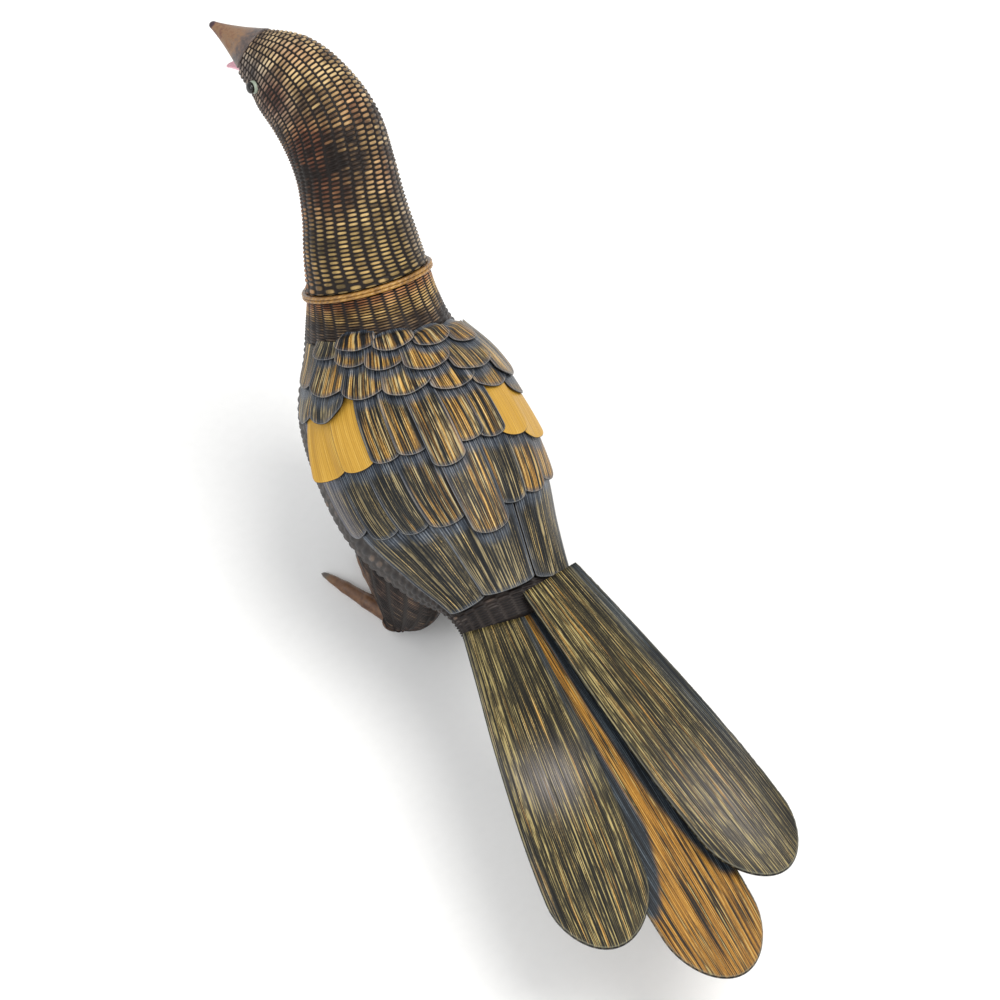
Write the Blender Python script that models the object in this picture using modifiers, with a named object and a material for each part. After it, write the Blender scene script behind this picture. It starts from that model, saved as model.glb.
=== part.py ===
"""Woven bamboo bird box: a hollow standing bird whose neck and head lift off as the lid.

The bird faces -Y with +X on its own left side. Sizes are millimetres, measured from the
centre of the seam between body and lid, and become metres when a mesh is made. The whole
bird hangs from one empty, which puts the origin on the ground below its middle.
"""

import math

import bmesh
import bpy
import numpy as np
from mathutils import Matrix, Vector

MM = 0.001

# Walls and fits
WALL = 1.6
GAP = 0.3
SPIGOT_CLEARANCE = 0.7
SPIGOT_HEIGHT = 4.0

# Seam between body and lid
NECK_RADIUS = 18.8
SEAM_PITCH = 54.4
SEAM_HEIGHT = 90.0
RIM_HEIGHT = 2.0
RIM_OVERHANG = 1.0

# Body
BODY_LENGTH = 100.0
BODY_WIDTH = 63.0
BODY_SWAY = 1.2
BODY_DEPTH = 71.0
TAIL_ROOT_WIDTH = 39.0
BODY_SIDES = 26
BODY_RINGS = 15
# Outlines of back and belly behind the seam: shares of BODY_LENGTH and of BODY_DEPTH
BACK_LINE = [
    (0.22, 0.08), (0.31, 0.03), (0.44, -0.005), (0.58, -0.05),
    (0.73, -0.145), (0.87, -0.265), (1.0, -0.385), (1.09, -0.425),
]
BELLY_LINE = [
    (-0.175, -0.28), (-0.17, -0.48), (-0.06, -0.73), (0.15, -0.93),
    (0.42, -1.0), (0.72, -0.87), (0.95, -0.61), (1.08, -0.57),
]
# How far each section widens from the neck, 0, to the widest point, 1
WIDTH_LINE = [0.08, 0.28, 0.84, 1.0, 0.9, 0.42]

# Lid: neck and head along a curved spine, given as shares of LID_LENGTH from the seam centre
LID_LENGTH = 75.0
NAPE_RADIUS = 15.0
BEAK_BASE_RADIUS = 8.2
LID_SIDES = 22
LID_RINGS = 15
# Share of the lid's length that stays square to the seam, and where its curved part begins
LID_SQUARE = 0.12
LID_START = 0.06
LID_SPINE = [
    (-0.011, -0.087, 0.123), (-0.024, -0.176, 0.244), (-0.035, -0.273, 0.360),
    (-0.032, -0.381, 0.463), (-0.001, -0.503, 0.543), (0.054, -0.633, 0.601),
    (0.128, -0.759, 0.631),
]
# Radii along that spine as shares of NAPE_RADIUS, between the rim and the beak
LID_RADII = [1.16, 1.045, 0.995, 1.007, 0.965, 0.855]
EYE_RADIUS = 1.7
EYE_STATION = 0.895
EYE_ANGLE = 84.0
EYE_FLATNESS = 0.55

# Beak
BEAK_LENGTH = 16.6
LOWER_BEAK_LENGTH = 11.5
LOWER_BEAK_RADIUS = 6.0
BEAK_DROOP = 0.5
MOUTH_OPENING = 46.0
MOUTH_TURN = 12.0
BEAK_FLOOR = 0.1
BEAK_BLUNT = 0.13
BEAK_HOLLOW = 1.25
BEAK_SIDES = 14
BEAK_RINGS = 7

# Bamboo slats that stand for feathers: laps across are degrees, laps along are shares of the body
SLAT = 0.4
SLAT_GAP = 0.3
SLAT_BED = 0.5
SLAT_LAP = 1.6
SLAT_RIDE = 1.35
SLAT_ROOT_LAP = 0.012
ROOT_WINDOW = 2.5
FIRST_ROW_LENGTH = 0.1
LONG_SLAT = 0.15
# Reach of the slats round the body, the step of the grid that they are laid on, and how
# far each side of a slat the bed under it is evened out
BED_ANGLE = 110.0
BED_STEP = 0.5
BED_REACH = 5.0
GOLDEN_SLATS = ("covert_slat_1", "covert_slat_2", "covert_slat_8", "covert_slat_9")

# Legs
LEG_SPREAD = 17.5
LEG_REACH = 53.7
THIGH_STATION = 0.65
THIGH_ANGLE = 150.0
THIGH_RADIUS = 11.3
THIGH_SIDES = 18
ANKLE_RADIUS = 5.0
ANKLE_HEIGHT = 4.0
ANKLE_SETBACK = 3.0
HUB_RADIUS = 3.0
HEEL_RADIUS = 4.0
TOE_LENGTH = 29.7
TOE_RADIUS = 2.4
TOE_SPLAY = 26.0
TOE_LIFT = 0.45
# Girth of a toe along it: share of its length, share of TOE_RADIUS
TOE_GIRTHS = [(0.02, 1.15), (0.3, 1.05), (0.6, 0.85), (0.85, 0.65), (1.0, 0.25)]

# Tail
TAIL_LENGTH = 101.0
RIGHT_TAIL_LENGTH = 107.0
MIDDLE_TAIL_LENGTH = 120.0
TAIL_WIDTH = 28.5
LEFT_TAIL_SPLAY = 5.8
RIGHT_TAIL_SPLAY = 10.6
MIDDLE_TAIL_SPLAY = 3.2
TAIL_SLOPE = 7.0
TAIL_THICKNESS = 1.1
TAIL_ARCH = 1.8
TAIL_DROOP = 2.5
TAIL_ROOT_LAP = 6.0
TAIL_BLUNT = 0.62
# The right feather lies on the left one, and the middle one lies under both
TAIL_LAYERS = {"left": -1.0, "right": 1.2, "middle": -2.0}
# Half width along a tail feather, as shares of half TAIL_WIDTH
TAIL_OUTLINE = [0.66, 0.76, 0.87, 0.95, 1.0, 0.99, 0.9]

SPIGOT_RADIUS = NECK_RADIUS - WALL - SPIGOT_CLEARANCE

# Rows of slats from the neck to the rump. Each has its slats' angles from the back line,
# half a slat's angle, where its tips lie between seam and tail root, how that place
# shifts for each degree and each square degree of angle, how round the tips are, and how
# far the slat nearest the back line runs past the others.
SLAT_ROWS = [
    ("nape_scallop", (36, 10, -16, -42), 15, 0.270, -0.00123, 0.0, 0.040, 0.0),
    ("shoulder_scallop", (61, 40, 20, -5, -31, -57), 14, 0.345, -0.0016, 0.0, 0.038, 0.0),
    ("mantle_scallop", (80, 56, 33, 10, -14, -37, -61), 13.5, 0.409, -0.00114, 0.0, 0.038, 0.0),
    ("side_scallop", (78, 58, -84), 13, 0.443, -0.0007, 0.0, 0.038, 0.0),
    ("covert_slat", (64, 46, 32, 19.5, 6, -8, -20, -34, -54), 11, 0.551, -0.0005, 0.0, 0.022, 0.043),
    ("wing_slat", (70, 53, 38, 21, -1, -19, -37, -56, -74), 11.5, 0.713, 0.0, -0.000016, 0.024, 0.042),
    ("rump_slat", (50, 5, -45), 24, 0.900, 0.0, 0.0, 0.022, 0.0),
]


def clear_scene():
    for thing in list(bpy.data.objects):
        bpy.data.objects.remove(thing, do_unlink=True)


def new_collection(name, helper=False):
    made = bpy.data.collections.new(name)
    bpy.context.scene.collection.children.link(made)
    made.hide_render = helper
    return made


def material(name, colour, roughness, metallic=0.0):
    made = bpy.data.materials.new(name)
    made.use_nodes = True
    shader = made.node_tree.nodes["Principled BSDF"]
    shader.inputs["Base Color"].default_value = (*colour, 1.0)
    shader.inputs["Roughness"].default_value = roughness
    shader.inputs["Metallic"].default_value = metallic
    made.diffuse_color = (*colour, 1.0)
    return made


def add_mesh(name, points, faces, finish):
    """One object from points in millimetres and faces as lists of indices."""
    mesh = bpy.data.meshes.new(name)
    mesh.from_pydata((np.asarray(points, float) * MM).tolist(), [], faces)
    mesh.materials.append(finish)
    mesh.shade_smooth()
    made = bpy.data.objects.new(name, mesh)
    PARTS.objects.link(made)
    made.parent = ROOT
    fix_normals(mesh)
    return made


def fix_normals(mesh):
    work = bmesh.new()
    work.from_mesh(mesh)
    bmesh.ops.remove_doubles(work, verts=work.verts, dist=1e-6)
    bmesh.ops.recalc_face_normals(work, faces=work.faces)
    work.to_mesh(mesh)
    work.free()


def spline(knots, t):
    """Catmull-Rom curve through evenly spaced knots, read at t from 0 to 1."""
    knots = np.asarray(knots, float)
    if knots.ndim == 1:
        knots = knots[:, None]
    spans = len(knots) - 1
    place = np.clip(np.asarray(t, float), 0.0, 1.0) * spans
    cell = np.minimum(place.astype(int), spans - 1)
    x = (place - cell)[..., None]
    padded = np.vstack([2 * knots[0] - knots[1], knots, 2 * knots[-1] - knots[-2]])
    a, b, c, d = (padded[cell + k] for k in range(4))
    bend = (2 * a - 5 * b + 4 * c - d) * x**2 + (3 * b - a - 3 * c + d) * x**3
    return 0.5 * (2 * b + (c - a) * x + bend)


def unit(vectors):
    vectors = np.asarray(vectors, float)
    return vectors / np.linalg.norm(vectors, axis=-1, keepdims=True)


def seam_axes():
    """The seam's normal, up the neck, and its direction across to the nape."""
    pitch = math.radians(SEAM_PITCH)
    up_neck = np.array([0.0, -math.cos(pitch), math.sin(pitch)])
    to_nape = np.array([0.0, math.sin(pitch), math.cos(pitch)])
    return up_neck, to_nape


def body_outlines():
    """Knots of the back line, the belly line and the half widths, seam to tail root."""
    _, to_nape = seam_axes()
    scale = np.array([BODY_LENGTH, BODY_DEPTH])
    nape = NECK_RADIUS * to_nape[1:]
    back = [nape] + [np.array(point) * scale for point in BACK_LINE]
    belly = [-nape] + [np.array(point) * scale for point in BELLY_LINE]
    swell = BODY_WIDTH / 2 - NECK_RADIUS
    widths = [NECK_RADIUS] + [NECK_RADIUS + share * swell for share in WIDTH_LINE]
    widths += [TAIL_ROOT_WIDTH / 2, TAIL_ROOT_WIDTH / 2 - 1.0]
    return back, belly, widths


def body_point(t, angle):
    """Point of the body's outside: t runs from seam to tail root, angle from the back."""
    back, belly, widths = body_outlines()
    top = spline(back, t)
    low = spline(belly, t)
    middle = (top + low) / 2
    rise = (top - low) / 2
    half = spline(widths, t)[..., 0]
    # The fattest part sits a little to the bird's left, as a hand-woven body does
    sway = BODY_SWAY * (half - NECK_RADIUS) / (BODY_WIDTH / 2 - NECK_RADIUS)
    x = half * np.sin(angle) + np.maximum(sway, 0.0)
    y = middle[..., 0] + rise[..., 0] * np.cos(angle)
    z = middle[..., 1] + rise[..., 1] * np.cos(angle)
    return np.stack([x, y, z], -1)


def over_body(t, angle, height):
    """Point at a height above the body's outside, along its normal."""
    t = np.asarray(t, float)
    angle = np.asarray(angle, float)
    step = 1e-3
    along = body_point(t + step, angle) - body_point(t - step, angle)
    round_it = body_point(t, angle + step) - body_point(t, angle - step)
    normal = unit(np.cross(round_it, along))
    return body_point(t, angle) + normal * np.asarray(height, float)[..., None]


def loft_faces(rings, sides):
    """Quads between neighbouring rings of points that run right round."""
    faces = []
    for ring in range(rings - 1):
        for side in range(sides):
            after = (side + 1) % sides
            here = ring * sides
            faces.append([here + side, here + after, here + sides + after, here + sides + side])
    return faces


def closed_loft(rings):
    """Points and faces of a loft whose two ends are closed by fans."""
    rings = np.asarray(rings, float)
    count, sides = rings.shape[:2]
    points = np.vstack([rings.reshape(-1, 3), rings[0].mean(0), rings[-1].mean(0)])
    faces = loft_faces(count, sides)
    first, last = count * sides, count * sides + 1
    for side in range(sides):
        after = (side + 1) % sides
        faces.append([first, after, side])
        faces.append([last, last - 1 - sides + side, last - 1 - sides + after])
    return points, faces


def shell_loft(outer, inner):
    """A cup: outer and inner rings joined at the first ring and closed at the last."""
    outer = np.asarray(outer, float)
    inner = np.asarray(inner, float)
    sides = outer.shape[1]
    rings = np.concatenate([outer[::-1], inner])
    return closed_loft(rings.reshape(-1, sides, 3))


def ring_angles(sides):
    return np.arange(sides) * 2 * np.pi / sides


def seam_ring(radius, height, sides):
    """Circle about the neck's axis, at a height above the seam."""
    up_neck, to_nape = seam_axes()
    angle = ring_angles(sides)
    across = np.cos(angle)[:, None] * to_nape + np.sin(angle)[:, None] * np.array([1.0, 0.0, 0.0])
    return across * radius + up_neck * height


def make_body(finish):
    """The hollow wicker body with its spigot, a step inside the seam that holds the lid."""
    angle = ring_angles(BODY_SIDES)
    stations = np.linspace(0.0, 1.0, BODY_RINGS)
    outside = [body_point(np.full(BODY_SIDES, t), angle) for t in stations]
    inside = [over_body(np.full(BODY_SIDES, t), angle, np.full(BODY_SIDES, -WALL)) for t in stations]
    # The inner wall stops short of the tail root, so that the end is as thick as the wall
    inside = inside[1:-1]
    bore = SPIGOT_RADIUS - WALL
    outer = [seam_ring(SPIGOT_RADIUS, SPIGOT_HEIGHT, BODY_SIDES), seam_ring(SPIGOT_RADIUS, 0, BODY_SIDES)]
    inner = [seam_ring(bore, SPIGOT_HEIGHT, BODY_SIDES), seam_ring(bore, -WALL, BODY_SIDES)]
    points, faces = shell_loft(outer + outside, inner + inside)
    return add_mesh("body_basket", points, faces, finish)


def lid_frame(t):
    """Centre, forward axis, crown direction and left direction of the lid at t from 0 to 1."""
    knots = [np.zeros(3)] + [np.array(point) * LID_LENGTH for point in LID_SPINE]
    t = np.asarray(t, float)
    step = 1e-3
    centre = spline(knots, t)
    axis = unit(spline(knots, t + step) - spline(knots, t - step))
    up_neck, _ = seam_axes()
    # The first stretch stays square to the seam, so that the lid's edge is flat
    keep = np.clip(1 - t / LID_SQUARE, 0.0, 1.0)[..., None]
    axis = unit(axis * (1 - keep) + up_neck * keep)
    up = np.array([0.0, 0.0, 1.0])
    crown = unit(up - (axis @ up)[..., None] * axis)
    left = np.cross(crown, axis)
    return centre, axis, crown, left


def lid_radius(t):
    knots = [NECK_RADIUS] + [NAPE_RADIUS * share for share in LID_RADII] + [BEAK_BASE_RADIUS]
    return spline(knots, t)[..., 0]


def lid_point(t, angle, height=0.0):
    """Point of the lid's outside: angle runs from the crown to the bird's left."""
    centre, _, crown, left = lid_frame(t)
    radius = (lid_radius(t) + height)[..., None]
    return centre + radius * (np.cos(angle)[..., None] * crown + np.sin(angle)[..., None] * left)


def make_lid(finish):
    """The hollow woven neck and head, closed where the beak begins."""
    angle = ring_angles(LID_SIDES)
    bottom = RIM_HEIGHT + 2 * GAP
    stations = np.linspace(LID_START, 1.0, LID_RINGS)
    outer = [seam_ring(NECK_RADIUS, bottom, LID_SIDES)]
    outer += [lid_point(np.full(LID_SIDES, t), angle) for t in stations]
    inner = [seam_ring(NECK_RADIUS - WALL, bottom, LID_SIDES)]
    inner += [lid_point(np.full(LID_SIDES, t), angle, -WALL) for t in stations[:-1]]
    points, faces = shell_loft(outer, inner)
    return add_mesh("head_lid", points, faces, finish)


def make_rim(finish):
    """The plaited band on the lid's edge, turned about the neck's axis."""
    outer = NECK_RADIUS + RIM_OVERHANG
    bore = NECK_RADIUS - WALL
    top = GAP + RIM_HEIGHT
    soft = RIM_HEIGHT / 5
    profile = [(bore, top), (outer - soft, top), (outer, GAP + RIM_HEIGHT / 2), (outer - soft, GAP), (bore, GAP)]
    points = [(radius, 0.0, height) for radius, height in profile]
    edges = [(place, (place + 1) % len(points)) for place in range(len(points))]
    mesh = bpy.data.meshes.new("lid_rim")
    mesh.from_pydata((np.array(points) * MM).tolist(), edges, [])
    mesh.materials.append(finish)
    rim = bpy.data.objects.new("lid_rim", mesh)
    PARTS.objects.link(rim)
    rim.parent = ROOT
    rim.rotation_euler.x = math.radians(90.0 - SEAM_PITCH)
    turn = rim.modifiers.new("turn", "SCREW")
    turn.steps = LID_SIDES
    turn.render_steps = LID_SIDES
    turn.use_merge_vertices = True
    turn.merge_threshold = 0.00001
    return rim


def make_eye(side, name, finish):
    """A flattened glass bead that sits just off the side of the head."""
    station = np.array(EYE_STATION)
    angle = np.array(math.radians(EYE_ANGLE) * side)
    step = 1e-3
    place = lid_point(station, angle)
    along = lid_point(station + step, angle) - lid_point(station - step, angle)
    round_it = lid_point(station, angle + step) - lid_point(station, angle - step)
    normal = unit(np.cross(along, round_it))
    centre, _, _, _ = lid_frame(station)
    normal = normal * np.sign(normal @ (place - centre))
    work = bmesh.new()
    bmesh.ops.create_uvsphere(work, u_segments=10, v_segments=6, radius=EYE_RADIUS * MM)
    mesh = bpy.data.meshes.new(name)
    work.to_mesh(mesh)
    work.free()
    mesh.materials.append(finish)
    mesh.shade_smooth()
    eye = bpy.data.objects.new(name, mesh)
    PARTS.objects.link(eye)
    eye.parent = ROOT
    eye.location = Vector((place + normal * (GAP + EYE_RADIUS * EYE_FLATNESS)) * MM)
    eye.rotation_euler = Vector(normal).to_track_quat("Z", "Y").to_euler()
    eye.scale.z = EYE_FLATNESS
    return eye


def make_beak_half(name, length, radius, droop, turn, sign, finish):
    """A tapering half cone with a blunt tip, nearly flat on the side facing the mouth."""
    centre, axis, crown, left = lid_frame(np.array(1.0))
    pitch = Matrix.Rotation(math.radians(droop), 3, Vector(left))
    yaw = Matrix.Rotation(math.radians(turn), 3, Vector(crown))
    along, across, side = (np.array(yaw @ pitch @ Vector(way)) for way in (axis, crown, left))
    start = centre + axis * GAP
    if sign < 0:
        # The lower half begins under the upper one and stays inside the round of the head
        start = start - crown * (BEAK_BASE_RADIUS - radius)
    angle = ring_angles(BEAK_SIDES)
    rings = []
    for step in np.linspace(0.0, 1.0, BEAK_RINGS):
        size = radius * (BEAK_BLUNT + (1 - BEAK_BLUNT) * (1 - step) ** BEAK_HOLLOW)
        height = np.cos(angle) * size
        height = np.where(height > 0, height, height * BEAK_FLOOR) * sign
        round_it = np.outer(np.sin(angle) * size, side) + np.outer(height, across)
        rings.append(start + along * (length * step) + round_it)
    rings = np.array(rings)
    # The base is cut square to the head, so that it seats on the lid
    behind = np.minimum((rings - start) @ axis, 0.0)
    rings = rings - behind[..., None] * axis
    points, faces = closed_loft(rings)
    return add_mesh(name, points, faces, finish)


def plate(name, under, thickness, finish):
    """A thin plate: an open grid of points on its underside, thickened upwards."""
    rows, columns = under.shape[:2]
    faces = []
    for row in range(rows - 1):
        for column in range(columns - 1):
            here = row * columns + column
            faces.append([here, here + 1, here + columns + 1, here + columns])
    mesh = bpy.data.meshes.new(name)
    mesh.from_pydata((under.reshape(-1, 3) * MM).tolist(), [], faces)
    mesh.materials.append(finish)
    mesh.shade_smooth()
    made = bpy.data.objects.new(name, mesh)
    PARTS.objects.link(made)
    made.parent = ROOT
    thicken = made.modifiers.new("thickness", "SOLIDIFY")
    thicken.thickness = thickness * MM
    thicken.offset = 1.0
    return made


def row_tip(row, angle):
    """Where a row's tips lie at an angle in degrees."""
    _, _, _, tip, skew, fall, _, _ = row
    return tip + skew * angle + fall * angle**2


class Slat:
    """One slat's footprint on the body and its tilt across."""

    def __init__(self, row, place):
        name, angles, half, _, _, _, self.round, longer = row
        self.name = f"{name}_{place + 1}"
        centre = min(range(len(angles)), key=lambda k: abs(angles[k]))
        middle = place == centre and abs(angles[place]) < half
        self.side = 0 if middle else math.copysign(1, angles[place])
        high = angles[place] + half
        low = angles[place] - half
        if place > 0 and angles[place - 1] - angles[place] < 2 * half:
            high = (angles[place] + angles[place - 1]) / 2 + SLAT_LAP
        if place < len(angles) - 1 and angles[place] - angles[place + 1] < 2 * half:
            low = (angles[place] + angles[place + 1]) / 2 - SLAT_LAP
        self.angle = (high + low) / 2
        self.half = (high - low) / 2
        self.tip = row_tip(row, angles[place]) + (longer if middle else 0.0)
        self.end = place in (0, len(angles) - 1)
        self.above = []

    def tip_line(self, v):
        return self.tip - self.round * (1 - np.sqrt(np.clip(1 - v**2, 0, 1)))

    def cover(self, degrees):
        """How far this slat reaches at an angle, or nowhere beside it."""
        v = (degrees - self.angle) / self.half
        return np.where(np.abs(v) <= 1, self.tip_line(np.clip(v, -1, 1)), -np.inf)

    def root_line(self, degrees):
        """The root tucks under the scalloped edge of the slats above it."""
        degrees = np.asarray(degrees, float)
        found = [slat for slat in self.above if abs(slat.angle - self.angle) < slat.half + self.half]
        if not found:
            # The first row is leaf shaped, because nothing hides its roots
            v = np.clip((degrees - self.angle) / self.half, -1, 1)
            return self.tip - FIRST_ROW_LENGTH + self.round * (1 - np.sqrt(1 - v**2)) * 0.8
        # Beside the slats above, the root is as high up as their lowest corner
        corner = min(slat.tip - slat.round for slat in found)
        edge = np.full(degrees.shape, np.inf)
        for shift in np.linspace(-ROOT_WINDOW, ROOT_WINDOW, 5):
            beside = np.clip(degrees + shift, self.angle - self.half, self.angle + self.half)
            edge = np.minimum(edge, np.max([slat.cover(beside) for slat in found], axis=0))
        return np.maximum(edge, corner) - SLAT_ROOT_LAP

    def tilt(self, v):
        """Height across the slat: its outer edge rides on the neighbour's inner edge."""
        ride = (SLAT + SLAT_GAP) * SLAT_RIDE
        if self.side == 0:
            return ride + 0 * v
        if self.end:
            return 0 * v
        return ride * (1 + self.side * v) / 2

    def share(self, t, degrees):
        """Place within the slat: 0 at the root and 1 at the tip, and -1 to 1 across."""
        v = (degrees - self.angle) / self.half
        tips = self.tip_line(np.clip(v, -1, 1))
        roots = self.root_line(degrees[0])[None, :]
        return (t - roots) / np.maximum(tips - roots, 1e-6), v


def widest(values):
    """The greatest of each value and its neighbours within BED_REACH, then evened out."""
    reach = round(BED_REACH / BED_STEP)
    padded = np.pad(values, reach, mode="edge")
    count = len(values)
    most = np.max([padded[k:k + count] for k in range(2 * reach + 1)], axis=0)
    padded = np.pad(most, reach, mode="edge")
    return np.mean([padded[k:k + count] for k in range(2 * reach + 1)], axis=0)


class Row:
    """Slats side by side on one smooth bed, which climbs over the row below from its roots on."""

    def __init__(self, slats, t, degrees, ground):
        self.slats = slats
        self.degrees = degrees[0]
        start = np.min([slat.root_line(self.degrees) for slat in slats], axis=0)
        self.start = -widest(-start)
        climb = np.zeros(len(self.degrees))
        beyond = np.maximum(t - self.start, SLAT_ROOT_LAP)
        for slat in slats:
            u, v = slat.share(t, degrees)
            near = (np.abs(v) <= 1 + SLAT_LAP / slat.half) & (u >= -0.03) & (u <= 1.05)
            need = ground + SLAT_GAP - SLAT_BED - slat.tilt(np.clip(v, -1, 1))
            climb = np.maximum(climb, np.max(np.where(near, need / beyond, 0.0), axis=0))
        self.climb = widest(climb)
        bed = self.bed(t, degrees)
        for slat in slats:
            u, v = slat.share(t, degrees)
            inside = (np.abs(v) <= 1) & (u >= 0) & (u <= 1)
            top = bed + slat.tilt(v) + SLAT
            ground[inside] = np.maximum(ground, top)[inside]

    def bed(self, t, degrees):
        start = np.interp(degrees, self.degrees, self.start)
        climb = np.interp(degrees, self.degrees, self.climb)
        return SLAT_BED + climb * np.maximum(t - start, 0.0)

    def surface(self, slat, u, v):
        """Underside of a slat."""
        degrees = slat.angle + slat.half * v
        root = slat.root_line(degrees)
        t = root + u * (slat.tip_line(v) - root)
        return over_body(t, np.radians(degrees), self.bed(t, degrees) + slat.tilt(v))


def lay_slats():
    """All rows, laid from the rump up, each on what is there already."""
    columns = 2 * round(BED_ANGLE / BED_STEP) + 1
    t, degrees = np.meshgrid(
        np.linspace(0, 1, 401), np.linspace(-BED_ANGLE, BED_ANGLE, columns), indexing="ij"
    )
    ground = np.zeros_like(t)
    rows = [[Slat(row, place) for place in range(len(row[1]))] for row in SLAT_ROWS]
    laid = []
    for row_index in range(len(rows) - 1, -1, -1):
        for slat in rows[row_index]:
            slat.above = [other for row in rows[:row_index] for other in row]
        laid.append(Row(rows[row_index], t, degrees, ground))
    return laid


def make_slats(finishes):
    across = np.sin(np.linspace(-np.pi / 2, np.pi / 2, 7))
    for row in lay_slats():
        for slat in row.slats:
            longest = slat.tip - slat.root_line(slat.angle + slat.half * across).min()
            spans = 3 if longest > LONG_SLAT else 2
            u, v = np.meshgrid(np.linspace(0, 1, spans + 1), across, indexing="ij")
            finish = finishes["gold"] if slat.name in GOLDEN_SLATS else finishes["slat"]
            plate(slat.name, row.surface(slat, u, v), SLAT, finish)


def tail_outline(u):
    """Half width of a tail feather along its length, as a share of half TAIL_WIDTH."""
    return spline(TAIL_OUTLINE, u)[..., 0]


def tail_bed(x, y):
    """Height of the gently arched bed that the tail's layers follow."""
    back, _, _ = body_outlines()
    reach = y - back[-1][0]
    share = reach / TAIL_LENGTH
    slope = math.tan(math.radians(TAIL_SLOPE))
    arch = TAIL_ARCH * (x / TAIL_WIDTH) ** 2 * np.clip(0.25 + 3 * share, 0.0, 1.0)
    return back[-1][1] - reach * slope - TAIL_DROOP * share**2 - arch


def make_tail_feather(name, length, splay, layer, root_y, root_x, finish):
    """A long arched bamboo blade with a round tip, in one of the tail's layers."""
    across = np.sin(np.linspace(-np.pi / 2, np.pi / 2, 9))
    u, v = np.meshgrid(np.linspace(0, 1, 9), across, indexing="ij")
    blunt = TAIL_WIDTH * TAIL_BLUNT
    reach = u * (length - blunt * (1 - np.sqrt(1 - v**2)))
    side = v * tail_outline(reach / length) * TAIL_WIDTH / 2
    turn = math.radians(splay)
    x = root_x + reach * math.sin(turn) + side * math.cos(turn)
    y = root_y + reach * math.cos(turn) - side * math.sin(turn)
    floor = tail_bed(x, y) + layer * (TAIL_THICKNESS + GAP)
    return plate(name, np.stack([x, y, floor], -1), TAIL_THICKNESS, finish)


def make_tail(finish):
    back, belly, _ = body_outlines()
    end = max(back[-1][0], belly[-1][0]) + GAP
    # The outer feathers start flush with the sides of the tail root
    root_x = (TAIL_ROOT_WIDTH - TAIL_OUTLINE[0] * TAIL_WIDTH) / 2
    feathers = [
        ("middle", MIDDLE_TAIL_LENGTH, -MIDDLE_TAIL_SPLAY, end, 0.0),
        ("left", TAIL_LENGTH, LEFT_TAIL_SPLAY, end, root_x),
        ("right", RIGHT_TAIL_LENGTH, -RIGHT_TAIL_SPLAY, end - TAIL_ROOT_LAP, -root_x),
    ]
    for word, length, splay, root_y, across in feathers:
        make_tail_feather(f"tail_feather_{word}", length, splay, TAIL_LAYERS[word], root_y, across, finish)


def make_thigh(side, name, finish):
    """A woven drumstick whose top hugs the belly and whose blunt foot end is the ankle."""
    angle = ring_angles(THIGH_SIDES)
    turn = math.radians(THIGH_ANGLE) * side
    reach_t = THIGH_RADIUS / BODY_LENGTH
    reach_turn = THIGH_RADIUS / (BODY_WIDTH / 2)

    def patch(share):
        t = THIGH_STATION + reach_t * share * np.cos(angle)
        return over_body(t, turn + reach_turn * share * np.sin(angle), np.full(THIGH_SIDES, GAP))

    top = patch(1.0)
    middle = top.mean(0)
    ankle = np.array([LEG_SPREAD * side, LEG_REACH + ANKLE_SETBACK, ANKLE_HEIGHT + GAP - SEAM_HEIGHT])
    ankle_ring = ankle + ANKLE_RADIUS * unit((top - middle) * np.array([1.0, 1.0, 0.0]))
    rings = [patch(0.1), patch(0.4), patch(0.7), top]
    for step in (0.2, 0.4, 0.6, 0.8, 0.93, 1.0):
        swell = math.sqrt(1 - step**2) * (1 - 0.15 * step)
        wide = middle + (top - middle) * swell + (ankle - middle) * step
        blend = step**3
        rings.append(wide * (1 - blend) + ankle_ring * blend)
    points, faces = closed_loft(rings)
    return add_mesh(name, points, faces, finish)


def helper_object(name, mesh, parent):
    made = bpy.data.objects.new(name, mesh)
    made.hide_render = True
    made.display_type = "WIRE"
    made.parent = parent
    CUTTERS.objects.link(made)
    return made


def tapered_rod(name, points, radii, parent):
    """A closed mesh of a round tapering rod along a few points, as a helper."""
    data = bpy.data.curves.new(name, "CURVE")
    data.dimensions = "3D"
    data.bevel_depth = MM
    data.bevel_resolution = 1
    data.use_fill_caps = True
    path = data.splines.new("POLY")
    path.points.add(len(points) - 1)
    for point, place, radius in zip(path.points, points, radii):
        point.co = (*(np.array(place) * MM), 1.0)
        point.radius = radius
    rod = bpy.data.objects.new(name, data)
    CUTTERS.objects.link(rod)
    bpy.context.view_layer.update()
    graph = bpy.context.evaluated_depsgraph_get()
    mesh = bpy.data.meshes.new_from_object(rod.evaluated_get(graph))
    bpy.data.objects.remove(rod, do_unlink=True)
    fix_normals(mesh)
    return helper_object(name, mesh, parent)


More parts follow.
